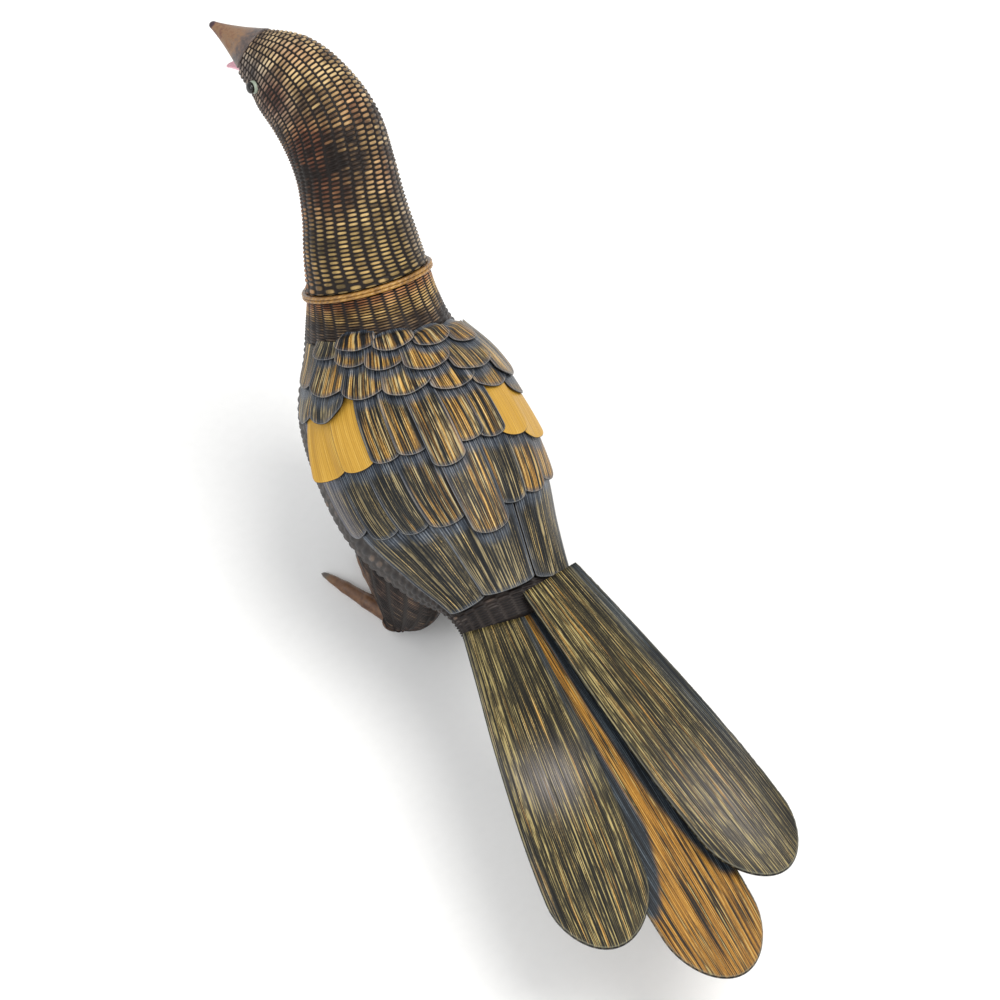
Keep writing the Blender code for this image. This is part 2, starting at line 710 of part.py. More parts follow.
def make_foot(side, name, finish):
    """Heel and three front toes, joined and cut flat below."""
    work = bmesh.new()
    height = ANKLE_HEIGHT + TOE_RADIUS
    bmesh.ops.create_cone(
        work, cap_ends=True, segments=12,
        radius1=HEEL_RADIUS * MM, radius2=HUB_RADIUS * MM, depth=height * MM,
    )
    bmesh.ops.translate(work, verts=work.verts, vec=(0.0, 0.0, (height / 2 - TOE_RADIUS) * MM))
    mesh = bpy.data.meshes.new(name)
    work.to_mesh(mesh)
    work.free()
    mesh.materials.append(finish)
    foot = bpy.data.objects.new(name, mesh)
    PARTS.objects.link(foot)
    foot.parent = ROOT
    foot.location = Vector((LEG_SPREAD * side, LEG_REACH, -SEAM_HEIGHT)) * MM
    # Turn, length and stoutness of each toe. Stoutness differs, so that no two faces coincide
    toes = [
        (TOE_SPLAY * side, TOE_LENGTH, 0.95),
        (0.0, TOE_LENGTH, 1.0),
        (-TOE_SPLAY * side, TOE_LENGTH, 0.9),
    ]
    for place, (splay, length, stout) in enumerate(toes):
        points = [(0.0, -length * share, TOE_LIFT * TOE_RADIUS * girth * stout**2) for share, girth in TOE_GIRTHS]
        radii = [TOE_RADIUS * girth * stout for _, girth in TOE_GIRTHS]
        rod = tapered_rod(f"{name}_toe_{place + 1}", points, radii, foot)
        rod.rotation_euler.z = math.radians(splay)
        join = foot.modifiers.new(f"toe_{place + 1}", "BOOLEAN")
        join.operation = "UNION"
        join.object = rod
    work = bmesh.new()
    bmesh.ops.create_cube(work, size=TOE_LENGTH * MM)
    bmesh.ops.scale(work, verts=work.verts, vec=(3.0, 3.0, 1.0))
    bmesh.ops.translate(work, verts=work.verts, vec=(0.0, 0.0, -TOE_LENGTH / 2 * MM))
    ground = bpy.data.meshes.new(f"{name}_ground")
    work.to_mesh(ground)
    work.free()
    cut = foot.modifiers.new("sole", "BOOLEAN")
    cut.operation = "DIFFERENCE"
    cut.object = helper_object(f"{name}_ground", ground, foot)
    return foot


def stand_on_origin():
    """Moves the empty so that the origin is on the ground, under the middle of the bird."""
    bpy.context.view_layer.update()
    graph = bpy.context.evaluated_depsgraph_get()
    low = np.full(3, np.inf)
    high = np.full(3, -np.inf)
    for made in PARTS.objects:
        if made.type != "MESH":
            continue
        mesh = made.evaluated_get(graph).to_mesh()
        points = np.empty(len(mesh.vertices) * 3)
        mesh.vertices.foreach_get("co", points)
        points = points.reshape(-1, 3)
        world = np.array(made.matrix_world)
        points = points @ world[:3, :3].T + world[:3, 3]
        low = np.minimum(low, points.min(0))
        high = np.maximum(high, points.max(0))
    middle = (low + high) / 2
    ROOT.location = (-middle[0], -middle[1], -low[2])


def finishes():
    return {
        "wicker": material("dyed bamboo splint", (0.10, 0.07, 0.04), 0.55),
        "rim": material("plaited golden splint", (0.38, 0.24, 0.08), 0.5),
        "slat": material("lacquered bamboo slat", (0.05, 0.045, 0.035), 0.35),
        "gold": material("golden bamboo slat", (0.60, 0.36, 0.07), 0.4),
        "beak": material("painted wood beak", (0.33, 0.16, 0.08), 0.45),
        "mouth": material("pink painted wood", (0.62, 0.30, 0.36), 0.5),
        "foot": material("stained wood foot", (0.28, 0.11, 0.04), 0.5),
        "eye": material("black glass bead", (0.01, 0.01, 0.01), 0.1),
    }


def main():
    finish = finishes()
    make_body(finish["wicker"])
    make_lid(finish["wicker"])
    make_rim(finish["rim"])
    make_beak_half("upper_beak", BEAK_LENGTH, BEAK_BASE_RADIUS, BEAK_DROOP, 0.0, 1, finish["beak"])
    make_beak_half(
        "lower_beak", LOWER_BEAK_LENGTH, LOWER_BEAK_RADIUS, MOUTH_OPENING, MOUTH_TURN, -1, finish["mouth"]
    )
    make_slats(finish)
    make_tail(finish["slat"])
    for side, word in ((1, "left"), (-1, "right")):
        make_eye(side, f"eye_{word}", finish["eye"])
        make_thigh(side, f"thigh_{word}", finish["wicker"])
        make_foot(side, f"foot_{word}", finish["foot"])
    stand_on_origin()


clear_scene()
PARTS = new_collection("wicker_bird_box")
CUTTERS = new_collection("cutters", helper=True)
ROOT = bpy.data.objects.new("bird_standing", None)
PARTS.objects.link(ROOT)
main()
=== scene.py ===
"""Looks of the woven bamboo bird box: split bamboo weave, lacquered slats, beak, eyes and feet.

Sizes are millimetres measured from the centre of the seam between body and lid, as in the
part's source, and become metres in the frame when a mesh is made.
"""

import math
from functools import partial

import bmesh
import bpy
import numpy as np
from mathutils import Matrix, Vector


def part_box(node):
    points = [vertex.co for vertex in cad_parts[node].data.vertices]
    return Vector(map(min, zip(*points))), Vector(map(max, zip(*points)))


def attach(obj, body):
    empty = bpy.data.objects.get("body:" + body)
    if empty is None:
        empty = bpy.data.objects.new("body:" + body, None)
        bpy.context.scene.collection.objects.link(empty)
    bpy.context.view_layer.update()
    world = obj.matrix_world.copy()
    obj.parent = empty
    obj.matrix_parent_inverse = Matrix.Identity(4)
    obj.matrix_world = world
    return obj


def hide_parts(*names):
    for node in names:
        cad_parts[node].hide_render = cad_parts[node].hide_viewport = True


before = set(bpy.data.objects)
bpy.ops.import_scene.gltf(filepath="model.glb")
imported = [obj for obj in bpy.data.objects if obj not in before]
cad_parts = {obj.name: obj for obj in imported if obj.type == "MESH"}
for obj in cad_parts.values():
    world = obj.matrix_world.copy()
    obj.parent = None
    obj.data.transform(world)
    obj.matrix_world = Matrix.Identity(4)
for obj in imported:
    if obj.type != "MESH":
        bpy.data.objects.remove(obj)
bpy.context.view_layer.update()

MM = 0.001
HASH_WEIGHTS = (12.9898, 78.233, 37.719)

# Walls, fits and the seam
WALL = 1.6
GAP = 0.3
SPIGOT_CLEARANCE = 0.7
SPIGOT_HEIGHT = 4.0
NECK_RADIUS = 18.8
SEAM_PITCH = 54.4
SEAM_HEIGHT = 90.0
RIM_HEIGHT = 2.0
RIM_OVERHANG = 1.0
SPIGOT_RADIUS = NECK_RADIUS - WALL - SPIGOT_CLEARANCE

# Body
BODY_LENGTH = 100.0
BODY_WIDTH = 63.0
BODY_SWAY = 1.2
BODY_DEPTH = 71.0
TAIL_ROOT_WIDTH = 39.0
BACK_LINE = [
    (0.22, 0.08), (0.31, 0.03), (0.44, -0.005), (0.58, -0.05),
    (0.73, -0.145), (0.87, -0.265), (1.0, -0.385), (1.09, -0.425),
]
BELLY_LINE = [
    (-0.175, -0.28), (-0.17, -0.48), (-0.06, -0.73), (0.15, -0.93),
    (0.42, -1.0), (0.72, -0.87), (0.95, -0.61), (1.08, -0.57),
]
WIDTH_LINE = [0.08, 0.28, 0.84, 1.0, 0.9, 0.42]

# Lid
LID_LENGTH = 75.0
NAPE_RADIUS = 15.0
BEAK_BASE_RADIUS = 8.2
LID_SQUARE = 0.12
LID_START = 0.06
LID_SPINE = [
    (-0.011, -0.087, 0.123), (-0.024, -0.176, 0.244), (-0.035, -0.273, 0.360),
    (-0.032, -0.381, 0.463), (-0.001, -0.503, 0.543), (0.054, -0.633, 0.601),
    (0.128, -0.759, 0.631),
]
LID_RADII = [1.16, 1.045, 0.995, 1.007, 0.965, 0.855]
EYE_RADIUS = 1.7
EYE_STATION = 0.895
EYE_ANGLE = 84.0
EYE_FLATNESS = 0.55

# Beak
BEAK_LENGTH = 16.6
LOWER_BEAK_LENGTH = 11.5
LOWER_BEAK_RADIUS = 6.0
BEAK_DROOP = 0.5
MOUTH_OPENING = 46.0
MOUTH_TURN = 12.0
BEAK_FLOOR = 0.1
BEAK_BLUNT = 0.13
BEAK_HOLLOW = 1.25

# Slats
SLAT = 0.4
SLAT_GAP = 0.3
SLAT_BED = 0.5
SLAT_LAP = 1.6
SLAT_RIDE = 1.35
SLAT_ROOT_LAP = 0.012
ROOT_WINDOW = 2.5
FIRST_ROW_LENGTH = 0.1
BED_ANGLE = 110.0
BED_STEP = 0.5
BED_REACH = 5.0
GOLDEN_SLATS = ("covert_slat_1", "covert_slat_2", "covert_slat_8", "covert_slat_9")
SLAT_ROWS = [
    ("nape_scallop", (36, 10, -16, -42), 15, 0.270, -0.00123, 0.0, 0.040, 0.0),
    ("shoulder_scallop", (61, 40, 20, -5, -31, -57), 14, 0.345, -0.0016, 0.0, 0.038, 0.0),
    ("mantle_scallop", (80, 56, 33, 10, -14, -37, -61), 13.5, 0.409, -0.00114, 0.0, 0.038, 0.0),
    ("side_scallop", (78, 58, -84), 13, 0.443, -0.0007, 0.0, 0.038, 0.0),
    ("covert_slat", (64, 46, 32, 19.5, 6, -8, -20, -34, -54), 11, 0.551, -0.0005, 0.0, 0.022, 0.043),
    ("wing_slat", (70, 53, 38, 21, -1, -19, -37, -56, -74), 11.5, 0.713, 0.0, -0.000016, 0.024, 0.042),
    ("rump_slat", (50, 5, -45), 24, 0.900, 0.0, 0.0, 0.022, 0.0),
]

# Legs
LEG_SPREAD = 17.5
LEG_REACH = 53.7
THIGH_STATION = 0.65
THIGH_ANGLE = 150.0
THIGH_RADIUS = 11.3
ANKLE_RADIUS = 5.0
ANKLE_HEIGHT = 4.0
ANKLE_SETBACK = 3.0
HUB_RADIUS = 3.0
HEEL_RADIUS = 4.0
TOE_LENGTH = 29.7
TOE_RADIUS = 2.4
TOE_SPLAY = 26.0
TOE_LIFT = 0.45
# Way of each toe and its stoutness, and the girth along a toe
TOES = ((1, 0.95), (0, 1.0), (-1, 0.9))
TOE_SHARES = [-0.04, 0.02, 0.3, 0.6, 0.85, 0.97, 1.0]
TOE_GIRTHS = [0.6, 1.15, 1.05, 0.85, 0.6, 0.32, 0.05]

# Tail
TAIL_LENGTH = 101.0
RIGHT_TAIL_LENGTH = 107.0
MIDDLE_TAIL_LENGTH = 120.0
TAIL_WIDTH = 28.5
LEFT_TAIL_SPLAY = 5.8
RIGHT_TAIL_SPLAY = 10.6
MIDDLE_TAIL_SPLAY = 3.2
TAIL_SLOPE = 7.0
TAIL_THICKNESS = 1.1
TAIL_ARCH = 1.8
TAIL_DROOP = 2.5
TAIL_ROOT_LAP = 6.0
TAIL_BLUNT = 0.62
TAIL_LAYERS = {"left": -1.0, "right": 1.2, "middle": -2.0}
TAIL_OUTLINE = [0.66, 0.76, 0.87, 0.95, 1.0, 0.99, 0.9]

# Weave: splints run round the bird and pass over every other stake
HEAD_STAKES = 27
BODY_STAKES = 29
THIGH_STAKES = 17
SPLINT = 0.63
WEAVE_DEPTH = 0.55
SAMPLES_ACROSS_SPLINT = 4
SAMPLES_PER_STAKE = 6
BODY_SAMPLES_ACROSS_SPLINT = 3
BODY_SAMPLES_PER_STAKE = 7
# Splints counted from the seam, and the place on the body that each count has reached
BODY_ROWS = [0.0, 34.0, 118.0, 132.0]
BODY_ROW_PLACES = [0.0, 0.2, 0.92, 1.0]
THIGH_ROWS = 72
LINING_END = 0.93
RIM_TURNS = 58
RIM_SIDES = 420

# Fine slats: rows and columns of their grids, and points along their outlines
SCALLOP_GRID = (27, 49)
SLAT_GRID = (31, 61)
TAIL_GRID = (90, 121)
SIDE_POINTS = 260
TIP_POINTS = 140
EDGE_ROUNDING = 0.5
GROOVE_SPACING = 0.75
GROOVE_DEPTH = 0.05
TAIL_GROOVE_DEPTH = 0.09
NAPE_TUCK = 1.5
# Reach of the painted shadow beyond the slats above, in millimetres
SHADOW_REACH = 2.2

# Gilt of each row, and of the slats that are more golden or darker than their row
ROW_GILT = {
    "nape_scallop": 0.20, "shoulder_scallop": 0.22, "mantle_scallop": 0.20, "side_scallop": 0.05,
    "covert_slat": 0.06, "wing_slat": 0.05, "rump_slat": 0.04,
}
GILT_NOTES = {
    "nape_scallop_1": 0.05,
    "covert_slat_3": 0.10, "covert_slat_4": 0.12, "covert_slat_5": 0.10,
    "covert_slat_6": 0.26, "covert_slat_7": 0.14,
    "wing_slat_1": -0.24, "wing_slat_2": -0.20, "wing_slat_3": -0.04, "wing_slat_4": 0.04,
    "wing_slat_5": 0.12, "wing_slat_6": 0.12, "wing_slat_7": 0.25, "wing_slat_8": 0.3,
    "rump_slat_1": -0.22, "rump_slat_2": -0.16, "rump_slat_3": -0.06,
}
# Painted sheen of each tail blade: middle and half length as shares of the blade, and strength
TAIL_SHEEN = {"middle": (0.5, 0.1, 0.0), "left": (0.50, 0.09, 0.6), "right": (0.80, 0.17, 0.36)}

# Beads, beak and feet: points round them
EYE_SIDES = 40
BEAK_SIDES = 64
FOOT_SIDES = 28

# Camera and stage: the photograph's view, fitted to the bird's outline
AZIMUTH = 155.0
ELEVATION = 50.0
LENS = 113.8
CAMERA_FROM_SEAM = (238.2, 602.5, 671.4)
FLOOR_REACH = 2.5


# Geometry shared with the solids

def spline(knots, t):
    """Catmull-Rom curve through evenly spaced knots, read at t from 0 to 1."""
    knots = np.asarray(knots, float)
    if knots.ndim == 1:
        knots = knots[:, None]
    spans = len(knots) - 1
    place = np.clip(np.asarray(t, float), 0.0, 1.0) * spans
    cell = np.minimum(place.astype(int), spans - 1)
    x = (place - cell)[..., None]
    padded = np.vstack([2 * knots[0] - knots[1], knots, 2 * knots[-1] - knots[-2]])
    a, b, c, d = (padded[cell + k] for k in range(4))
    bend = (2 * a - 5 * b + 4 * c - d) * x**2 + (3 * b - a - 3 * c + d) * x**3
    return 0.5 * (2 * b + (c - a) * x + bend)


def unit(vectors):
    vectors = np.asarray(vectors, float)
    return vectors / np.linalg.norm(vectors, axis=-1, keepdims=True)


def smooth(low, high, value):
    """0 below low, 1 above high and 3x^2 - 2x^3 between them."""
    x = np.clip((np.asarray(value, float) - low) / (high - low), 0.0, 1.0)
    return x * x * (3 - 2 * x)


def hashed(*numbers):
    """A repeatable value from 0 to 1 for whole numbers: the fraction of a stretched sine."""
    total = sum(np.asarray(number, float) * weight for number, weight in zip(numbers, HASH_WEIGHTS))
    return np.abs(np.sin(total + 0.5) * 43758.5453) % 1.0


def seam_axes():
    pitch = math.radians(SEAM_PITCH)
    up_neck = np.array([0.0, -math.cos(pitch), math.sin(pitch)])
    to_nape = np.array([0.0, math.sin(pitch), math.cos(pitch)])
    return up_neck, to_nape


UP_NECK, TO_NAPE = seam_axes()
rim_low, rim_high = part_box("lid_rim")
# Place of the seam's centre in the frame, in millimetres
SEAM = (np.array(rim_low) + np.array(rim_high)) / 2 / MM - UP_NECK * (GAP + RIM_HEIGHT / 2)


def body_outlines():
    """Knots of the back line, the belly line and the half widths, seam to tail root."""
    scale = np.array([BODY_LENGTH, BODY_DEPTH])
    nape = NECK_RADIUS * TO_NAPE[1:]
    back = [nape] + [np.array(point) * scale for point in BACK_LINE]
    belly = [-nape] + [np.array(point) * scale for point in BELLY_LINE]
    swell = BODY_WIDTH / 2 - NECK_RADIUS
    widths = [NECK_RADIUS] + [NECK_RADIUS + share * swell for share in WIDTH_LINE]
    widths += [TAIL_ROOT_WIDTH / 2, TAIL_ROOT_WIDTH / 2 - 1.0]
    return back, belly, widths


BACK, BELLY, WIDTHS = body_outlines()


def body_point(t, angle):
    """Ellipse at t between back and belly curves: middle + rise cos(angle), half width sin(angle)."""
    top = spline(BACK, t)
    low = spline(BELLY, t)
    middle = (top + low) / 2
    rise = (top - low) / 2
    half = spline(WIDTHS, t)[..., 0]
    sway = BODY_SWAY * (half - NECK_RADIUS) / (BODY_WIDTH / 2 - NECK_RADIUS)
    x = half * np.sin(angle) + np.maximum(sway, 0.0)
    y = middle[..., 0] + rise[..., 0] * np.cos(angle)
    z = middle[..., 1] + rise[..., 1] * np.cos(angle)
    return np.stack([x, y, z], -1)


def over_body(t, angle, height):
    """Body point plus its unit normal, the cross product of the two tangents, times a height."""
    t = np.asarray(t, float)
    angle = np.asarray(angle, float)
    step = 1e-3
    along = body_point(t + step, angle) - body_point(t - step, angle)
    round_it = body_point(t, angle + step) - body_point(t, angle - step)
    normal = unit(np.cross(round_it, along))
    return body_point(t, angle) + normal * np.asarray(height, float)[..., None]


def lid_frame(t):
    """Centre, forward axis, crown direction and left direction of the lid at t from 0 to 1."""
    knots = [np.zeros(3)] + [np.array(point) * LID_LENGTH for point in LID_SPINE]
    t = np.asarray(t, float)
    step = 1e-3
    centre = spline(knots, t)
    axis = unit(spline(knots, t + step) - spline(knots, t - step))
    keep = np.clip(1 - t / LID_SQUARE, 0.0, 1.0)[..., None]
    axis = unit(axis * (1 - keep) + UP_NECK * keep)
    up = np.array([0.0, 0.0, 1.0])
    crown = unit(up - (axis @ up)[..., None] * axis)
    left = np.cross(crown, axis)
    return centre, axis, crown, left


def lid_radius(t):
    knots = [NECK_RADIUS] + [NAPE_RADIUS * share for share in LID_RADII] + [BEAK_BASE_RADIUS]
    return spline(knots, t)[..., 0]


def seam_rings(radius, height, angle):
    """Circles about the neck's axis: radius (cos to the nape, sin to the left), raised up the neck."""
    across = np.cos(angle)[..., None] * TO_NAPE + np.sin(angle)[..., None] * np.array([1.0, 0.0, 0.0])
    return across * np.asarray(radius, float)[..., None] + UP_NECK * np.asarray(height, float)[..., None]


def lid_surface(t, angle, height):
    """Circle of the lid's radius plus a height about its spine, turned at first from the seam's circle."""
    centre, _, crown, left = lid_frame(t)
    radius = (lid_radius(t) + height)[..., None]
    curved = centre + radius * (np.cos(angle)[..., None] * crown + np.sin(angle)[..., None] * left)
    bottom = RIM_HEIGHT + 2 * GAP
    flat = seam_rings(NECK_RADIUS + height, np.full(np.shape(t), bottom), angle)
    blend = smooth(LID_EDGE, LID_START, t)[..., None]
    return flat * (1 - blend) + curved * blend


def lid_edge():
    """The t at which the lid's spine rises past the edge that rests on the rim."""
    t = np.linspace(0.0, 0.2, 201)
    return float(np.interp(RIM_HEIGHT + 2 * GAP, lid_frame(t)[0] @ UP_NECK, t))


LID_EDGE = lid_edge()


# Making meshes

def new_piece(name, points, faces, finish, corners=None, values=None):
    """An object from points in millimetres, its faces, its UV by face corner and its values by point."""
    mesh = bpy.data.meshes.new(name)
    mesh.from_pydata(((np.asarray(points, float) + SEAM) * MM).tolist(), [], faces)
    if corners is not None:
        layer = mesh.uv_layers.new(name="UVMap")
        layer.data.foreach_set("uv", np.asarray(corners, np.float32).ravel())
    for word, amount in (values or {}).items():
        stored = mesh.attributes.new(word, "FLOAT", "POINT")
        filled = np.zeros(len(points), np.float32)
        filled[: np.size(amount)] = np.asarray(amount, np.float32).ravel()
        stored.data.foreach_set("value", filled)
    mesh.materials.append(finish)
    work = bmesh.new()
    work.from_mesh(mesh)
    bmesh.ops.recalc_face_normals(work, faces=work.faces)
    work.to_mesh(mesh)
    work.free()
    mesh.shade_smooth()
    made = bpy.data.objects.new(name, mesh)
    bpy.context.scene.collection.objects.link(made)
    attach(made, "root")
    return made


def cells(rows, sides):
    """UV of a grid of faces by corner, one unit to a face."""
    row, side = np.meshgrid(np.arange(rows), np.arange(sides), indexing="ij")
    spots = np.stack([side, row, side + 1, row, side + 1, row + 1, side, row + 1], -1)
    return spots.reshape(-1, 2).astype(float)


def belts(here, above):
    """Quads between rings of point numbers and the rings above them."""
    around = [here, np.roll(here, -1, axis=1), np.roll(above, -1, axis=1), above]
    return np.stack(around, -1).reshape(-1, 4).tolist()


def tube(rings, first=0):
    """Points, faces and UV of rings joined in turn, each end closed by a fan about its middle.
    The faces number the points from first."""
    rings = np.asarray(rings, float)
    count, sides = rings.shape[:2]
    number = np.arange(count * sides).reshape(count, sides) + first
    points = [rings.reshape(-1, 3)]
    faces = belts(number[:-1], number[1:])
    corners = [cells(count - 1, sides)]
    side = np.arange(sides)
    for end, ring in enumerate((0, count - 1)):
        points.append(rings[ring].mean(0)[None])
        middle = np.full(sides, first + count * sides + end)
        faces += np.stack([middle, np.roll(number[ring], -1), number[ring]], -1).tolist()
        level = np.full(sides, ring)
        spots = np.stack([side + 0.5, level, side + 1, level, side, level], -1)
        corners.append(spots.reshape(-1, 2))
    return np.vstack(points), faces, np.vstack(corners)


def hoop(rings):
    """Points, faces and UV of rings joined in turn, and the last one to the first."""
    count, sides = rings.shape[:2]
    number = np.arange(count * sides).reshape(count, sides)
    return rings.reshape(-1, 3), belts(number, np.roll(number, -1, axis=0)), cells(count, sides)


def weave(stake, row, slack=0.6):
    """Height 0 to 1 of a plain weave. A splint lies on each whole row and passes over the stakes
    whose number plus the row's is even: there it is a half ellipse across times a half cosine
    along it to the power of slack, with the stake itself a low round ridge below it."""
    nearest = np.round(stake)
    envelope = np.clip(np.cos(np.pi * (stake - nearest)), 0.0, 1.0)
    place = (row + nearest % 2) / 2
    across = np.abs(place - np.round(place)) * 2
    over = np.sqrt(np.clip(1 - (across / 0.68) ** 2, 0.0, 1.0)) * envelope**slack
    height = np.maximum(over, 0.22 * envelope)
    splint = np.round(place)
    dye = hashed(nearest, splint)
    strand = hashed(splint, nearest % 2 + 7.0)
    return height, over, dye * 0.55 + strand * 0.45


# Slats, laid as in the part's source

def row_tip(row, angle):
    _, _, _, tip, skew, fall, _, _ = row
    return tip + skew * angle + fall * angle**2


class Slat:
    """One slat's footprint on the body and its tilt across."""

    def __init__(self, row, place):
        name, angles, half, _, _, _, self.round, longer = row
        self.row = name
        self.name = f"{name}_{place + 1}"
        centre = min(range(len(angles)), key=lambda k: abs(angles[k]))
        middle = place == centre and abs(angles[place]) < half
        self.side = 0 if middle else math.copysign(1, angles[place])
        high = angles[place] + half
        low = angles[place] - half
        if place > 0 and angles[place - 1] - angles[place] < 2 * half:
            high = (angles[place] + angles[place - 1]) / 2 + SLAT_LAP
        if place < len(angles) - 1 and angles[place] - angles[place + 1] < 2 * half:
            low = (angles[place] + angles[place + 1]) / 2 - SLAT_LAP
        self.angle = (high + low) / 2
        self.half = (high - low) / 2
        self.tip = row_tip(row, angles[place]) + (longer if middle else 0.0)
        self.end = place in (0, len(angles) - 1)
        self.above = []

    def tip_line(self, v):
        return self.tip - self.round * (1 - np.sqrt(np.clip(1 - v**2, 0, 1)))

    def cover(self, degrees):
        v = (degrees - self.angle) / self.half
        return np.where(np.abs(v) <= 1, self.tip_line(np.clip(v, -1, 1)), -np.inf)

    def root_line(self, degrees):
        degrees = np.asarray(degrees, float)
        found = [slat for slat in self.above if abs(slat.angle - self.angle) < slat.half + self.half]
        if not found:
            v = np.clip((degrees - self.angle) / self.half, -1, 1)
            return self.tip - FIRST_ROW_LENGTH + self.round * (1 - np.sqrt(1 - v**2)) * 0.8
        corner = min(slat.tip - slat.round for slat in found)
        edge = np.full(degrees.shape, np.inf)
        for shift in np.linspace(-ROOT_WINDOW, ROOT_WINDOW, 5):
            beside = np.clip(degrees + shift, self.angle - self.half, self.angle + self.half)
            edge = np.minimum(edge, np.max([slat.cover(beside) for slat in found], axis=0))
        return np.maximum(edge, corner) - SLAT_ROOT_LAP

    def place(self, u, v):
        """Place along the body and degrees round it, at u from root to tip and v across."""
        degrees = self.angle + self.half * v
        root = self.root_line(degrees)
        return root + u * (self.tip_line(v) - root), degrees

    def tilt(self, v):
        ride = (SLAT + SLAT_GAP) * SLAT_RIDE
        if self.side == 0:
            return ride + 0 * v
        if self.end:
            return 0 * v
        return ride * (1 + self.side * v) / 2

    def share(self, t, degrees):
        v = (degrees - self.angle) / self.half
        tips = self.tip_line(np.clip(v, -1, 1))
        roots = self.root_line(degrees[0])[None, :]
        return (t - roots) / np.maximum(tips - roots, 1e-6), v


def widest(values):
    """The greatest of each value and its neighbours within BED_REACH, then evened out."""
    reach = round(BED_REACH / BED_STEP)
    padded = np.pad(values, reach, mode="edge")
    count = len(values)
    most = np.max([padded[k:k + count] for k in range(2 * reach + 1)], axis=0)
    padded = np.pad(most, reach, mode="edge")
    return np.mean([padded[k:k + count] for k in range(2 * reach + 1)], axis=0)


class Row:
    """Slats side by side on one smooth bed, which climbs over the row below from its roots on."""

    def __init__(self, slats, t, degrees, ground):
        self.slats = slats
        self.degrees = degrees[0]
        start = np.min([slat.root_line(self.degrees) for slat in slats], axis=0)
        self.start = -widest(-start)
        climb = np.zeros(len(self.degrees))
        beyond = np.maximum(t - self.start, SLAT_ROOT_LAP)
        for slat in slats:
            u, v = slat.share(t, degrees)
            near = (np.abs(v) <= 1 + SLAT_LAP / slat.half) & (u >= -0.03) & (u <= 1.05)
            need = ground + SLAT_GAP - SLAT_BED - slat.tilt(np.clip(v, -1, 1))
            climb = np.maximum(climb, np.max(np.where(near, need / beyond, 0.0), axis=0))
        self.climb = widest(climb)
        bed = self.bed(t, degrees)
        for slat in slats:
            u, v = slat.share(t, degrees)
            inside = (np.abs(v) <= 1) & (u >= 0) & (u <= 1)
            top = bed + slat.tilt(v) + SLAT
            ground[inside] = np.maximum(ground, top)[inside]

    def bed(self, t, degrees):
        start = np.interp(degrees, self.degrees, self.start)
        climb = np.interp(degrees, self.degrees, self.climb)
        return SLAT_BED + climb * np.maximum(t - start, 0.0)

    def surface(self, slat, u, v, lift):
        """Slat at u from root to tip and v across: over the body by bed, tilt and lift."""
        t, degrees = slat.place(u, v)
        height = self.bed(t, degrees) + slat.tilt(v) + lift
        if slat.row == "nape_scallop":
            # The first row comes out from under the weave of the neck
            height = height - NAPE_TUCK * (1 - smooth(0.0, 0.42, u))
        return over_body(t, np.radians(degrees), height)


def lay_slats():
    columns = 2 * round(BED_ANGLE / BED_STEP) + 1
    t, degrees = np.meshgrid(
        np.linspace(0, 1, 401), np.linspace(-BED_ANGLE, BED_ANGLE, columns), indexing="ij"
    )
    ground = np.zeros_like(t)
    rows = [[Slat(row, place) for place in range(len(row[1]))] for row in SLAT_ROWS]
    laid = []
    for row_index in range(len(rows) - 1, -1, -1):
        for slat in rows[row_index]:
            slat.above = [other for row in rows[:row_index] for other in row]
        laid.append(Row(rows[row_index], t, degrees, ground))
    return laid


def tail_outline(u):
    return spline(TAIL_OUTLINE, u)[..., 0]


def tail_bed(x, y):
    """Sloping bed that droops with the square of its reach and is arched across."""
    reach = y - BACK[-1][0]
    share = reach / TAIL_LENGTH
    slope = math.tan(math.radians(TAIL_SLOPE))
    arch = TAIL_ARCH * (x / TAIL_WIDTH) ** 2 * np.clip(0.25 + 3 * share, 0.0, 1.0)
    return BACK[-1][1] - reach * slope - TAIL_DROOP * share**2 - arch


# Materials

# Settings that many nodes share
RGBA = {"output": 2, "data_type": "RGBA"}
EASED = {"interpolation_type": "SMOOTHSTEP"}

# Noises stretched over the slats' UV in millimetres: scale across and along, detail and roughness.
# Broad is fibre bundles 1.2 mm wide and 30 mm long, fine is fibres 0.35 mm wide, speck is pores and
# scratches 0.5 mm across, worn is ribs 1.5 mm apart, and broken is where those come and go over 8 mm.
STREAKS = {
    "broad": (0.85, 0.033, 2.0, 0.55),
    "fine": (3.4, 0.045, 2.5, 0.7),
    "speck": (2.5, 1.1, 3.0, 0.7),
    "worn": (1.6, 0.010, 1.0, 0.6),
    "broken": (0.8, 0.12, 2.0, 0.6),
}


def shade(text):
    """An sRGB hex value as linear red, green, blue and alpha."""
    parts = [int(text[k:k + 2], 16) / 255 for k in (1, 3, 5)]
    return [part / 12.92 if part <= 0.04045 else ((part + 0.055) / 1.055) ** 2.4 for part in parts] + [1.0]


def add(tree, kind, inputs=None, stops=None, output=0, **settings):
    """Adds a node with its settings, values and links, and returns one of its outputs."""
    made = tree.nodes.new("ShaderNode" + kind)
    for word, setting in settings.items():
        setattr(made, word, setting)
    for place, value in (inputs or {}).items():
        socket = made.inputs[place]
        if isinstance(value, bpy.types.NodeSocket):
            tree.links.new(value, socket)
        else:
            socket.default_value = value
    if stops:
        ramp = made.color_ramp
        while len(ramp.elements) < len(stops):
            ramp.elements.new(0.5)
        for element, (place, colour) in zip(ramp.elements, stops):
            element.position = place
            element.color = shade(colour)
    return made.outputs[output]


def start_material(name, **settings):
    made = bpy.data.materials.new(name)
    made.use_nodes = True
    shader = made.node_tree.nodes["Principled BSDF"]
    for word, value in settings.items():
        shader.inputs[word.replace("_", " ")].default_value = value
    return made, made.node_tree, shader


